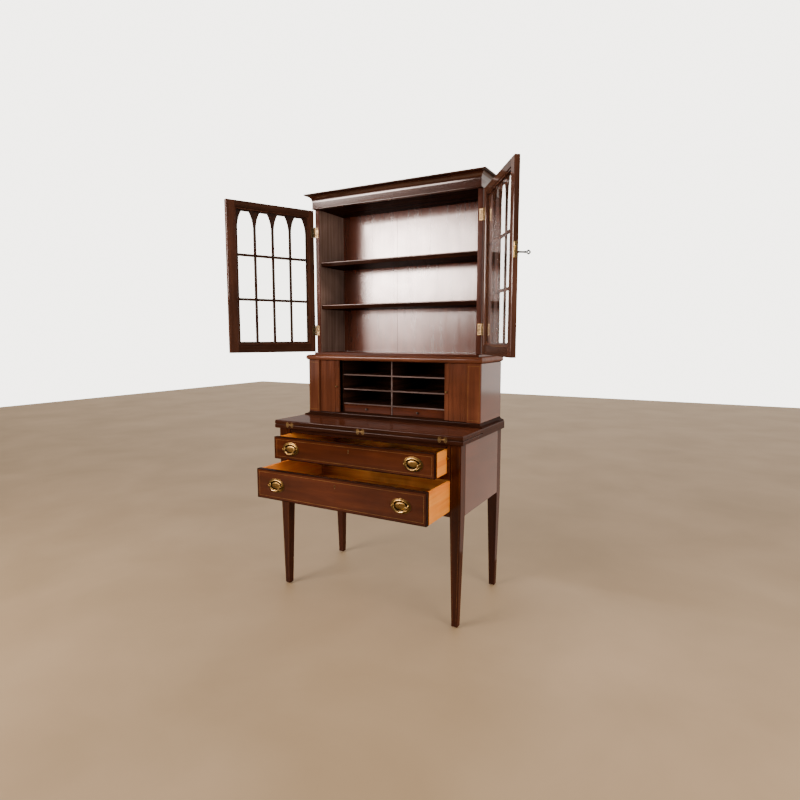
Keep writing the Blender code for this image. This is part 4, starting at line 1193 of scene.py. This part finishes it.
@dataclass
class Pigeonholes:
    """Unit of pigeonholes over two cells, and the small drawers in those."""

    wall: float = 0.008
    shelf: float = 0.007
    skin: float = 0.003
    cell: float = 0.036
    tiers: int = 3
    lip: float = 0.0035
    lip_in: float = 0.0006
    front: float = 0.010
    box_wall: float = 0.006
    box_floor: float = 0.004
    box_down: float = 0.003
    knob: float = 0.0056

    def build(self, bench: Bench) -> None:
        """Make the unit and its drawers."""
        low, high = bench.box("pigeonhole_unit")
        first = low[2] + self.skin + self.cell
        step = (high[2] - self.skin - first) / self.tiers
        levels = [first + step * number for number in range(self.tiers)]
        left, right = low[0] + self.wall, high[0] - self.wall
        lip, half = self.lip, self.shelf / 2
        boards = [block((x0, low[1], low[2]), (x0 + self.wall, high[1], high[2]), ease=0.0006)
                  for x0 in (low[0], right)]
        spans = [(low[1], z, z + self.skin) for z in (low[2], high[2] - self.skin)]
        spans += [(low[1] + lip, z, z + self.shelf) for z in levels]
        boards += [block((left, y, z0), (right, high[1], z1), ease=0.0004) for y, z0, z1 in spans]
        boards.append(block((-half, low[1] + lip, low[2]), (half, high[1], high[2]), ease=0.0004))
        bench.place("pigeonhole_boards", boards, INSIDE.material(Grain.DEEP), "case", "inside",
                    ["pigeonhole_unit"])
        inset = self.lip_in
        ends = [((x0, z + inset), (x1, z + self.shelf - inset))
                for z in levels for x0, x1 in ((left, -half), (half, right))]
        ends.append(((-half + inset, low[2]), (half - inset, high[2])))
        lips = [block((x0, low[1], z0), (x1, low[1] + lip, z1), ease=0.0012)
                for (x0, z0), (x1, z1) in ends]
        bench.place("pigeonhole_lips", lips, LIPPING.material(Grain.ACROSS), "case", "inside")
        for side in Hand:
            self.drawer(bench, side)

    def drawer(self, bench: Bench, side: Hand) -> None:
        """Small drawer: polished front, box of tan wood, and a turned knob."""
        node, body = f"small_drawer_{side.word}", f"{side.word}_small_drawer"
        low, high = bench.box(node)
        face = low[1] + KNOB_OUT
        split = face + self.front
        bench.place(f"{node}_face", [block((low[0], face, low[2]), (high[0], split, high[2]))],
                    MAHOGANY.material(Grain.ACROSS), body, "mahogany", [node])
        wall = self.box_wall
        left, right, back, top = low[0] + wall, high[0] - wall, high[1] - wall, high[2] - self.box_down
        boards = [block((x0, split, low[2]), (x0 + wall, high[1], top), ease=0.0006)
                  for x0 in (low[0], right)]
        boards.append(block((left, back, low[2]), (right, high[1], top), ease=0.0006))
        boards.append(block((left, split, low[2]), (right, back, low[2] + self.box_floor), ease=0.0004))
        bench.place(f"{node}_box", boards, TAN.material(Grain.DEEP), body, "drawer")
        knob = knob_form((low[0] + high[0]) / 2, face, (low[2] + high[2]) / 2, self.knob)
        bench.place(f"{node}_knob", [knob], IRON.material(), body, "iron")


@dataclass
class Bookcase:
    """Sides, planked back, shelves, and the cornice with its frieze.

    Haze and ceiling are half the thickness of the thin lining and top. A strike is given by its two ends
    and by half its depth and thickness. Shelf_edge has a shelf's growth at steps up from its underside,
    and shelf_top at steps down from its top.
    """

    planks: Sequence[float] = (-0.22,)
    plank_gap: float = 0.0002
    haze: float = 0.0005
    haze_in: float = 0.003
    ceiling: float = 0.0008
    shelf_edge: Sequence[tuple[float, float]] = ((0.0, -0.0080), (0.0, -0.0042), (0.0008, -0.0032))
    shelf_top: Sequence[tuple[float, float]] = ((0.0032, -0.0006), (0.0012, -0.0018), (0.0002, -0.0036),
                                                (0.0002, -0.0080))
    shelf_round: float = 0.0030
    bead: float = 0.0022
    bead_out: float = 0.0014
    bead_room: float = 0.0050
    frieze_ease: float = 0.0012
    frieze: float = 0.030
    cove: float = 0.030
    out: float = 0.028
    step: float = 0.003
    step_ease: tuple[float, float] = (0.0003, 0.0006)
    wall: float = 0.016
    floor: float = 0.012
    ease: float = 0.0010
    strike_in: float = 0.010
    strike_ends: tuple[float, float] = (-0.016, -0.002)
    strike: tuple[float, float] = (0.004, 0.0003)

    def build(self, bench: Bench) -> None:
        """Make every fixed piece of the bookcase."""
        for side in Hand:
            bench.board(f"bookcase_side_{side.word}", BOOK, Grain.UPRIGHT)
        self.back(bench)
        self.lining(bench)
        for tier in ("lower", "upper"):
            self.shelf(bench, f"bookcase_shelf_{tier}")
        self.cornice(bench)
        self.strikes(bench)

    def lining(self, bench: Bench) -> None:
        """Inner faces of the sides, hazed and with a painted sheen in their colour, and the bare board that
        closes the top.
        """
        left, right = bench.box("bookcase_side_left"), bench.box("bookcase_side_right")
        back = bench.box("bookcase_back")[0][1]
        front, foot, head = left[0][1], left[0][2], bench.box("cornice")[0][2]
        faces = [block((x - self.haze, front + self.haze_in, foot), (x + self.haze, back, head), FINE)
                 for x in (left[1][0], right[0][0])]
        bench.place("bookcase_lining", faces, LINER.material(Grain.UPRIGHT))
        top = block((left[1][0], front, head - self.ceiling), (right[0][0], back, head + self.ceiling), FINE)
        bench.place("bookcase_ceiling", [top], MATT.material(Grain.ACROSS))

    def shelf(self, bench: Bench, node: str) -> None:
        """Shelf whose front leans back to its underside, with a polished round upper arris."""
        low, high = bench.box(node)
        foot, head = low[2], high[2]
        edge = np.array([(foot + up, growth) for up, growth in self.shelf_edge]
                        + [(head - down, growth) for down, growth in self.shelf_top])
        board = moulded((high[0] - low[0]) / 2, low[1], high[1], edge, beside=0.0)
        bench.place(f"{node}_board", [board], MATT.material(Grain.ACROSS), nodes=[node])
        radius = self.shelf_round
        arris = turned([(radius, low[0]), (radius, high[0])], (0.0, low[1] + radius, head - radius),
                       Grain.ACROSS)
        bench.place(f"{node}_arris", [arris], ARRIS.material(Grain.ACROSS), smooth=60)

    def back(self, bench: Bench) -> None:
        """Back of upright planks with a hair of a joint between them."""
        low, high = bench.box("bookcase_back")
        middle, half = (low[0] + high[0]) / 2, (high[0] - low[0]) / 2
        edges = [low[0], *[middle + half * share for share in self.planks], high[0]]
        gap = self.plank_gap
        shells = [block((x0 + gap, low[1], low[2]), (x1 - gap, high[1], high[2]), ease=0.0005)
                  for x0, x1 in zip(edges, edges[1:])]
        bench.place("bookcase_planks", shells, PANEL.material(Grain.UPRIGHT), nodes=["bookcase_back"])

    def cornice(self, bench: Bench) -> None:
        """Frieze with a bead at its foot, cove, fillet, and the tray behind them.

        The cove is a quarter ellipse: growth = (out - step) * (1 - cos t), height = cove * sin t. Past
        the top the stations turn inwards and down to the tray's floor.
        """
        low, high = bench.box("cornice")
        half = (high[0] - low[0]) / 2 - self.out
        front = low[1] + self.out
        bead = np.linspace(-QUARTER, QUARTER, 9)
        foot = low[2]
        edge = [(foot, -self.frieze_ease)]
        edge += list(zip(foot + self.bead + self.bead * np.sin(bead), self.bead_out * np.cos(bead)))
        edge.append((foot + self.bead_room, 0.0))
        turn = np.linspace(0, QUARTER, 19)
        spring = foot + self.frieze
        edge += list(zip(spring + self.cove * np.sin(turn), (self.out - self.step) * (1 - np.cos(turn))))
        top, ease = high[2], self.ease
        up, inward = self.step_ease
        edge += [(spring + self.cove + up, self.out - inward), (spring + self.cove + ease, self.out),
                 (top - ease, self.out), (top, self.out - ease), (top, -self.wall + ease),
                 (top - ease, -self.wall), (foot + self.floor, -self.wall)]
        edge = np.array(edge)
        behind = np.where(edge[:, 1] < -self.wall / 2, -self.wall, 0.0)
        bench.place("cornice_moulding", [moulded(half, front, 0.0, edge, behind=behind)],
                    CORNICE.material(Grain.ACROSS), nodes=["cornice"])

    def strikes(self, bench: Bench) -> None:
        """Small brass strikes for the left door's bolts, in the frieze and the plinth."""
        low = bench.box("cornice")[0]
        y = low[1] + self.out + self.strike_in
        plinth = bench.box("waist_board")[1][2]
        (start, end), (deep, thick) = self.strike_ends, self.strike
        shells = [block((start, y - deep, z - thick), (end, y + deep, z + thick), FINE)
                  for z in (low[2], plinth)]
        bench.place("door_strikes", shells, BRASS.material(), "case", "brass")


@dataclass
class Door:
    """Glazed door: stiles, rails, lattice of arched panes, bead, glass and hinges.

    A butt is given by its length, width and thickness, and butt_in is its middle's distance from the
    door's foot or head. The pin stands pin_out beyond the door's edge and pin_back behind the door. The
    front of a lattice bar falls back by bar_fall where it is bar_inset in from its edge. Knuckle_end and
    pin_tip have radii at steps along the pin, from a knuckle's end inwards and from the pin's end out.
    """

    hand: Hand
    swing: Swing
    edge: float
    front: float
    foot: float
    head: float
    thick: float = 0.020
    arris: float = 0.0016
    meeting: float = 0.001
    hinge_stile: float = 0.028
    lock_stile: float = 0.040
    top_rail: float = 0.030
    bottom_rail: float = 0.038
    lattice: float = 0.008
    border: float = 0.012
    bar: float = 0.012
    bar_inset: Sequence[float] = (0.0, 0.0003, 0.0012, 0.0034)
    bar_fall: Sequence[float] = (0.0040, 0.0022, 0.0008, 0.0)
    columns: int = 4
    rows: int = 3
    arch: float = 0.074
    flat: float = 0.036
    glass: float = 0.003
    glass_room: float = 0.0006
    tenon: float = 0.0032
    glass_bead: float = 0.0055
    bead_deep: float = 0.0050
    butt: tuple[float, float, float] = (0.046, 0.016, 0.0016)
    butt_in: float = 0.102
    butt_lap: float = 0.0012
    screw: float = 0.0032
    screw_spread: float = 0.34
    knuckles: int = 5
    knuckle_end: Sequence[tuple[float, float]] = ((0.0022, HAIR), (0.0024, 0.0004), (0.0030, 0.0012))
    pin_tip: Sequence[tuple[float, float]] = ((0.0018, -0.0002), (0.0030, 0.0012), (0.0026, 0.0028),
                                              (0.0006, 0.0036))
    pin_out: float = 0.0034
    pin_back: float = 0.0004

    @property
    def body(self) -> str:
        """Body that the door moves with."""
        return f"{self.hand.word}_door"

    def put(self, bench: Bench, name: str, shells: Sequence[Shell], material: bpy.types.Material,
            slot: str, nodes: Sequence[str] = (), smooth: float = 32.0) -> None:
        """Place forms worked out for the right hand, on this door's side and as it stands."""
        handed = [shell.mirrored(self.hand.value) for shell in shells]
        bench.place(f"{self.body}_{name}", handed, material, self.body, slot, nodes, self.swing, smooth)

    def build(self, bench: Bench) -> None:
        """Make the door."""
        back = self.front + self.thick
        inner, outer = self.meeting + self.lock_stile, self.edge - self.hinge_stile
        low, high = self.foot + self.bottom_rail, self.head - self.top_rail
        stiles = [block((x0, self.front, self.foot), (x1, back, self.head), self.arris)
                  for x0, x1 in ((self.meeting, inner), (outer, self.edge))]
        self.put(bench, "stiles", stiles, DOOR.material(Grain.UPRIGHT), "mahogany",
                 [f"{self.body}_sash"])
        rails = [block((inner - self.tenon, self.front, z0), (outer + self.tenon, back, z1), self.arris)
                 for z0, z1 in ((self.foot, low), (high, self.head))]
        wood = RAIL.material(Grain.ACROSS, self.swing.angle)
        self.put(bench, "rails", rails, wood, "mahogany")
        self.put(bench, "lattice", self.lattice_form(inner, outer, low, high),
                 RAIL.material(Grain.UPRIGHT), "mahogany", smooth=40)
        seat = self.front + self.lattice + self.glass + self.glass_room
        beads = frame_strips((inner, low), (outer, high), self.glass_bead, seat, seat + self.bead_deep)
        self.put(bench, "bead", beads, DOOR.material(Grain.UPRIGHT), "mahogany")
        glass = bench.frame["nodes"][f"{self.body}_glass"]
        glass.data.materials.clear()
        glass.data.materials.append(GLASS.material())
        glass.visible_shadow = False
        for end in ("bottom", "top"):
            self.hinge(bench, end)

    def strip(self, left: Array, right: Array) -> Shell:
        """Lattice bar between two edge lines, with a rounded front.

        Args:
            left: Rows of (x, z) along one edge.
            right: Rows of (x, z) along the other.

        Returns:
            The surface: at each row a section that falls back at both edges.
        """
        across = right - left
        wide = np.linalg.norm(across, axis=1)[:, None]
        unit = across / wide
        inset, fall = np.array(self.bar_inset), np.array(self.bar_fall)
        sides = []
        for edge, way, order in ((left, 1, slice(None)), (right, -1, slice(None, None, -1))):
            flat = edge[:, None, :] + way * unit[:, None, :] * inset[order][None, :, None]
            sides.append(gather(flat[..., 0], self.front + fall[order], flat[..., 1]))
        back = self.front + self.lattice
        ends = [gather(edge[:, 0], back, edge[:, 1])[:, None, :] for edge in (right, left)]
        return skin(np.concatenate([*sides, *ends], axis=1))

    def lattice_form(self, inner: float, outer: float, low: float, high: float) -> list[Shell]:
        """Upright ribs that swell into the spandrels of the arches, cross bars and borders.

        Above its spring each pane narrows on both sides by r - sqrt(r * r - h * h), h being the height
        above the spring and r the radius of the circle that reaches the level top.
        """
        wide = (outer - inner - 2 * self.border + self.bar) / self.columns
        tall = (high - low - 2 * self.border + self.bar) / self.rows
        top = high - self.border
        spring = top - self.arch
        narrow = (wide - self.bar - self.flat) / 2
        radius = (self.arch ** 2 + narrow ** 2) / (2 * narrow)
        z = np.concatenate([np.linspace(low, spring, 4), spring + self.arch * np.linspace(0, 1, 17)[1:],
                            [top + HAIR, high]])
        rise = np.clip(z - spring, 0, self.arch)
        inset = radius - np.sqrt(radius ** 2 - rise ** 2)
        shells = []
        for number in range(self.columns + 1):
            start = inner + self.border + number * wide - self.bar
            left = inner if number == 0 else start - inset
            right = outer if number == self.columns else start + self.bar + inset
            shells.append(self.strip(gather(left, z), gather(right, z)))
        x = np.array([inner, outer])
        bars = [(low, low + self.border), (top, high)]
        bars += [(low + self.border + row * tall - self.bar, low + self.border + row * tall)
                 for row in range(1, self.rows)]
        return shells + [self.strip(gather(x, z0), gather(x, z1)) for z0, z1 in bars]

    def hinge(self, bench: Bench, end: str) -> None:
        """Butt hinge: a plate with three screws on the door and on the case, and the knuckles.

        The knuckles share the pin by turns; the pin has a small round tip at each end.
        """
        level = self.foot + self.butt_in if end == "bottom" else self.head - self.butt_in
        long, wide, thick = self.butt
        pin = (self.edge + self.pin_out, self.front + self.thick + self.pin_back)
        knuckle, sides = long / self.knuckles, 16
        profile = [*self.knuckle_end, *[(radius, knuckle - way) for radius, way in self.knuckle_end[::-1]]]
        for half, first, inward in (("fixed", 0, 1), ("moving", 1, -1)):
            face = pin[1] + inward * HAIR
            shells = [block((self.edge - wide, face, level - long / 2),
                            (self.edge + self.butt_lap, face + inward * thick, level + long / 2),
                            ease=0.0003)]
            for share in (-self.screw_spread, 0.0, self.screw_spread):
                screw = screw_form(self.edge - wide / 2, 0.0, level + share * long, self.screw)
                screw.points[:, 1] = face + inward * screw.points[:, 1]
                shells.append(screw)
            for number in range(first, self.knuckles, 2):
                start = level - long / 2 + number * knuckle
                barrel = turned(profile, (*pin, start), Grain.UPRIGHT, sides)
                barrel.hollow = np.repeat([1.0, 1.0, 0.1, 0.1, 1.0, 1.0], sides)
                shells.append(barrel)
            if half == "fixed":
                for way, start in ((-1, level - long / 2), (1, level + long / 2)):
                    tip = [(radius, out * way) for radius, out in self.pin_tip]
                    shells.append(turned(tip, (*pin, start), Grain.UPRIGHT, sides))
            node = [f"{self.body}_hinge_{end}_{half}"]
            name = f"hinge_{end}_{half}_butt"
            if half == "moving":
                self.put(bench, name, shells, BUTT.material(), "brass", node, 40)
            else:
                handed = [shell.mirrored(self.hand.value) for shell in shells]
                bench.place(f"{self.body}_{name}", handed, BUTT.material(), "case", "brass", node,
                            smooth=40)


@dataclass
class DoorLock:
    """Lock let into the right door's meeting edge, its bolt, and the key that stands in it.

    The plate and the bolt are given by half their thickness and half their height.
    """

    door: Door
    up: float = 0.355
    backset: float = 0.017
    plate: tuple[float, float] = (0.0055, 0.027)
    plate_proud: float = 0.0004
    plate_deep: float = 0.0016
    screw_up: float = 0.021
    bolt: tuple[float, float] = (0.0025, 0.007)
    bolt_up: float = 0.0125
    bolt_proud: float = 0.0008
    bolt_long: float = 0.013
    out: float = 0.040
    bow: float = 0.0085
    bow_in: float = 0.0024
    bow_power: float = 1.2
    bow_bar: float = 0.0026
    shank: float = 0.0032
    collar: float = 0.0042

    def build(self, bench: Bench) -> None:
        """Make the lock, the bolt and the key."""
        door = self.door
        middle = door.front + door.thick / 2
        key_z = door.foot + self.up
        bolt_z = key_z + self.bolt_up
        key_x = door.meeting + self.backset
        lock_z = (key_z + bolt_z) / 2
        edge = door.meeting
        thick, tall = self.plate
        face = edge - self.plate_proud
        plate = block((face, middle - thick, lock_z - tall),
                      (edge + self.plate_deep, middle + thick, lock_z + tall), ease=0.0004)
        screws = [self.edge_screw(face, middle, lock_z + way * self.screw_up) for way in (-1, 1)]
        rim = turned([(0.0066, door.front + 0.001), (0.0066, door.front - 0.0006),
                      (0.0052, door.front - 0.0012), (0.0044, door.front - 0.0004),
                      (0.0044, door.front + 0.001)], (key_x, 0.0, key_z), Grain.DEEP, 24)
        door.put(bench, "lock", [plate, *screws, rim], BRIGHT.material(), "brass", ["door_lock"])
        thick, tall = self.bolt
        bolt = block((edge - self.bolt_proud, middle - thick, bolt_z - tall),
                     (edge + self.bolt_long, middle + thick, bolt_z + tall), ease=0.0005)
        bench.place("lock_bolt_bar", [bolt], BRASS.material(), "bolt", "brass", ["lock_bolt"], door.swing)
        bench.place("door_key_form", self.key_form(key_x, door.front, key_z, middle), BLACK.material(),
                    "key", "iron", ["door_key"], door.swing, smooth=45)

    @staticmethod
    def edge_screw(x: float, y: float, z: float) -> Shell:
        """Screw head that faces the other door."""
        return turned([(0.0022, 0.0004), (0.0022, -0.0001), (0.0008, -0.0005)], (x, y, z), Grain.ACROSS, 12)

    def key_form(self, x: float, face: float, z: float, tip: float) -> list[Shell]:
        """Shank with collars, a bow bent to a lozenge, and the bit inside the lock.

        The bow's path is an upright superellipse with the exponent p: |u| ** p + |v| ** p = 1.
        """
        bow_y = face - self.out
        end = bow_y + self.bow
        shank = turned([(0.0018, tip), (0.0024, face - 0.001), (self.shank, face - 0.004),
                        (0.0040, face - 0.005), (0.0040, face - 0.007), (self.shank, face - 0.008),
                        (self.shank, end + 0.004), (self.collar, end + 0.003),
                        (self.collar, end + 0.001), (0.0020, end)], (x, 0.0, z), Grain.DEEP, 16)
        turn = circle(40)
        reach = self.bow - self.bow_in
        u, v = [np.sign(way) * np.abs(way) ** (2 / self.bow_power) * reach
                for way in (np.cos(turn), np.sin(turn))]
        ring = bent_bar(gather(u, 0.0, v), np.full(len(turn), self.bow_bar), 10, ring=True)
        upright = ring.points[:, [1, 0, 2]] + np.array([x, bow_y, z])
        bit = block((x - 0.0008, tip - 0.0035, z - 0.0052), (x + 0.0008, tip - 0.0010, z), ease=0.0003)
        return [shank, Shell(upright, ring.faces), bit]


ROSY: Colour = (1.0, 0.80, 0.72)
DUSK: Colour = (1.0, 0.74, 0.66)


@dataclass(frozen=True)
class Lamp:
    """Soft flat lamp: its place and the point that it faces, in the case's frame, its size and watts."""

    name: str
    at: tuple[float, float, float]
    aim: tuple[float, float, float]
    size: tuple[float, float]
    power: float
    lit: Lit
    colour: Colour = (1.0, 0.96, 0.91)

    def hang(self, origin: Array) -> None:
        """Put the lamp into the scene, turned to the point that it faces."""
        data = bpy.data.lights.new(self.name, "AREA")
        data.shape = "RECTANGLE"
        data.size, data.size_y = self.size
        data.energy = self.power
        data.color = self.colour
        lamp = bpy.data.objects.new(self.name, data)
        lamp.visible_diffuse = self.lit is Lit.FILL
        lamp.visible_glossy = self.lit is Lit.SHINE
        lamp.visible_transmission = False
        away = np.array(self.aim) - np.array(self.at)
        level = math.hypot(away[0], away[1])
        lamp.location = origin + np.array(self.at)
        lamp.rotation_euler = (math.atan2(level, -away[2]), 0.0, math.atan2(away[1], away[0]) - QUARTER)
        bpy.context.scene.collection.objects.link(lamp)


@dataclass
class Studio:
    """Pale floor, soft light, and the camera where the photograph was taken from."""

    eye: tuple[float, float, float] = (1.2410, -2.4041, 1.1483)
    turn: float = 28.76
    tilt: float = -6.44
    lens: float = 25.0
    sensor: float = 36.0
    floor_half: float = 9.0
    floor_tones: tuple[Shade, Shade] = ((158, 130, 96), (174, 145, 111))
    sky_front: Colour = (0.07, 0.06, 0.052)
    sky_back: Colour = (1.0, 0.94, 0.87)
    sky_seen: Colour = (3.70, 3.56, 3.32)
    sky_strength: float = 1.3
    lamps: Sequence[Lamp] = (
        Lamp("window", (-1.58, -3.05, 1.95), (0.0, -0.1, 1.40), (1.45, 0.85), 128.0, Lit.SHINE, ROSY),
        Lamp("window_left", (-1.88, -3.05, 1.95), (0.0, -0.1, 1.40), (0.95, 0.80), 70.0, Lit.SHINE, ROSY),
        Lamp("window_foot", (-1.72, -3.05, 1.27), (0.0, -0.1, 1.40), (1.15, 0.50), 4.8, Lit.SHINE, DUSK),
        Lamp("foot_left", (-1.92, -3.05, 1.27), (0.0, -0.1, 1.40), (0.85, 0.50), 9.5, Lit.SHINE, DUSK),
        Lamp("room", (-3.45, -3.05, 1.55), (0.0, -0.1, 1.40), (1.70, 1.80), 16.0, Lit.SHINE),
        Lamp("wall", (1.55, 0.20, 0.95), (1.55, -1.0, 0.95), (2.10, 1.85), 9.0, Lit.SHINE, (1.0, 0.86, 0.76)),
        Lamp("key", (-1.62, -3.05, 1.72), (0.0, -0.1, 1.00), (1.65, 1.35), 105.0, Lit.FILL),
        Lamp("ceiling", (0.2, -1.2, 3.3), (0.0, -0.4, 0.8), (2.6, 2.2), 20.0, Lit.FILL),
        Lamp("side", (3.1, -1.6, 1.5), (0.2, -0.3, 0.9), (1.8, 1.8), 78.0, Lit.FILL))

    def build(self, bench: Bench) -> None:
        """Set the stage round the piece."""
        self.floor()
        self.sky()
        for lamp in self.lamps:
            lamp.hang(bench.origin)
        self.camera(bench)

    def floor(self) -> None:
        """Wide pale floor, faintly clouded."""
        reach = np.linspace(-self.floor_half, self.floor_half, 25)
        x, y = np.meshgrid(reach, reach, indexing="ij")
        shell = skin(gather(x, y, 0.0), closed=False, capped=False)
        mesh = bpy.data.meshes.new("studio_floor")
        mesh.from_pydata(shell.points.tolist(), [], shell.faces[0].tolist())
        graph = Graph("pale_floor")
        place = graph.add("TexCoord").outputs["Object"]
        tone = graph.noise(place, 1.6, 6.0, 0.3)
        dark, light = [screen(*shade) for shade in self.floor_tones]
        colour = graph.ramp(tone, ((0.3, dark), (0.7, light)))
        graph.link(colour, graph.shader.inputs["Base Color"])
        graph.gloss(Roughness=0.6)
        mesh.materials.append(graph.material)
        floor = bpy.data.objects.new("studio_floor", mesh)
        bpy.context.scene.collection.objects.link(floor)

    def sky(self) -> None:
        """Light from all round: bright behind the piece, as off a pale wall, and dim in front.

        What is seen straight or through the glass, before any bounce, is one pale tone.
        """
        world = bpy.data.worlds.new("studio_light")
        bpy.context.scene.world = world
        world.use_nodes = True
        nodes, links = world.node_tree.nodes, world.node_tree.links
        place = nodes.new("ShaderNodeTexCoord")
        split = nodes.new("ShaderNodeSeparateXYZ")
        band = nodes.new("ShaderNodeValToRGB")
        shift = nodes.new("ShaderNodeMapRange")
        shift.inputs["From Min"].default_value = -1.0
        links.new(place.outputs["Generated"], split.inputs["Vector"])
        links.new(split.outputs["Y"], shift.inputs["Value"])
        links.new(shift.outputs["Result"], band.inputs["Fac"])
        stops = ((0.55, self.sky_front), (0.85, self.sky_back))
        for element, (position, colour) in zip(band.color_ramp.elements, stops):
            element.position, element.color = position, (*colour, 1.0)
        ways = nodes.new("ShaderNodeLightPath")
        bounces = nodes.new("ShaderNodeMath")
        links.new(ways.outputs["Diffuse Depth"], bounces.inputs[0])
        links.new(ways.outputs["Glossy Depth"], bounces.inputs[1])
        seen = nodes.new("ShaderNodeMath")
        seen.operation = "LESS_THAN"
        links.new(bounces.outputs[0], seen.inputs[0])
        mix = nodes.new("ShaderNodeMix")
        mix.data_type = "RGBA"
        mix.clamp_result = False
        links.new(seen.outputs[0], mix.inputs[MIX_FACTOR])
        links.new(band.outputs["Color"], mix.inputs[MIX_FIRST])
        mix.inputs[MIX_SECOND].default_value = (*self.sky_seen, 1.0)
        links.new(mix.outputs[MIX_RESULT], nodes["Background"].inputs["Color"])
        nodes["Background"].inputs["Strength"].default_value = self.sky_strength

    def camera(self, bench: Bench) -> None:
        """Camera fitted to the photograph."""
        data = bpy.data.cameras.new("photo_camera")
        data.sensor_fit = "HORIZONTAL"
        data.sensor_width = self.sensor
        data.lens = self.lens
        camera = bpy.data.objects.new("photo_camera", data)
        camera.location = bench.origin + np.array(self.eye)
        camera.rotation_euler = (QUARTER + math.radians(self.tilt), 0.0, math.radians(self.turn))
        bpy.context.scene.collection.objects.link(camera)
        bpy.context.scene.camera = camera


def hung_door(bench: Bench, hand: Hand) -> Door:
    """Door with its place and turn taken from the record and the solids.

    Args:
        bench: Gives the record's joints and the case's frame.
        hand: Side that the door is hung on.

    Returns:
        The door, with its shut sizes and the turn that it stands at.
    """
    joint = bench.joint(f"{hand.word}_door_hinge")
    pin = np.array(joint["pos_m"][:2]) - bench.origin[:2]
    turn = math.radians(-joint["range_deg"][0] * joint["axis"][2])
    side = bench.box(f"bookcase_side_{hand.word}")
    sash = bench.box(f"{hand.word}_door_sash")
    front = float(side[0][1] - DOOR_ROOM)
    edge = float(abs(side[0 if hand is Hand.LEFT else 1][0]))
    return Door(hand, Swing((pin[0], pin[1]), turn), edge, front, float(sash[0][2]), float(sash[1][2]))


def main() -> None:
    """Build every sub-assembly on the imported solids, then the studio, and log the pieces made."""
    logging.basicConfig(level=logging.INFO, format="%(name)s: %(message)s")
    for spare in list(bpy.data.objects):
        bpy.data.objects.remove(spare, do_unlink=True)
    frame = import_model()
    bench = Bench(frame)
    doors = {hand: hung_door(bench, hand) for hand in Hand}
    parts = [LowerCase(), LongDrawer("upper"), LongDrawer("lower"), TambourCase(), Tambour(Hand.LEFT),
             Tambour(Hand.RIGHT), Pigeonholes(), Bookcase(), *doors.values(), DoorLock(doors[Hand.RIGHT])]
    for part in parts:
        LOG.info("building %s", type(part).__name__)
        part.build(bench)
    Studio().build(bench)
    LOG.info("%d pieces made", bench.made)
    bpy.context.view_layer.update()


if __name__ == "__main__":
    main()
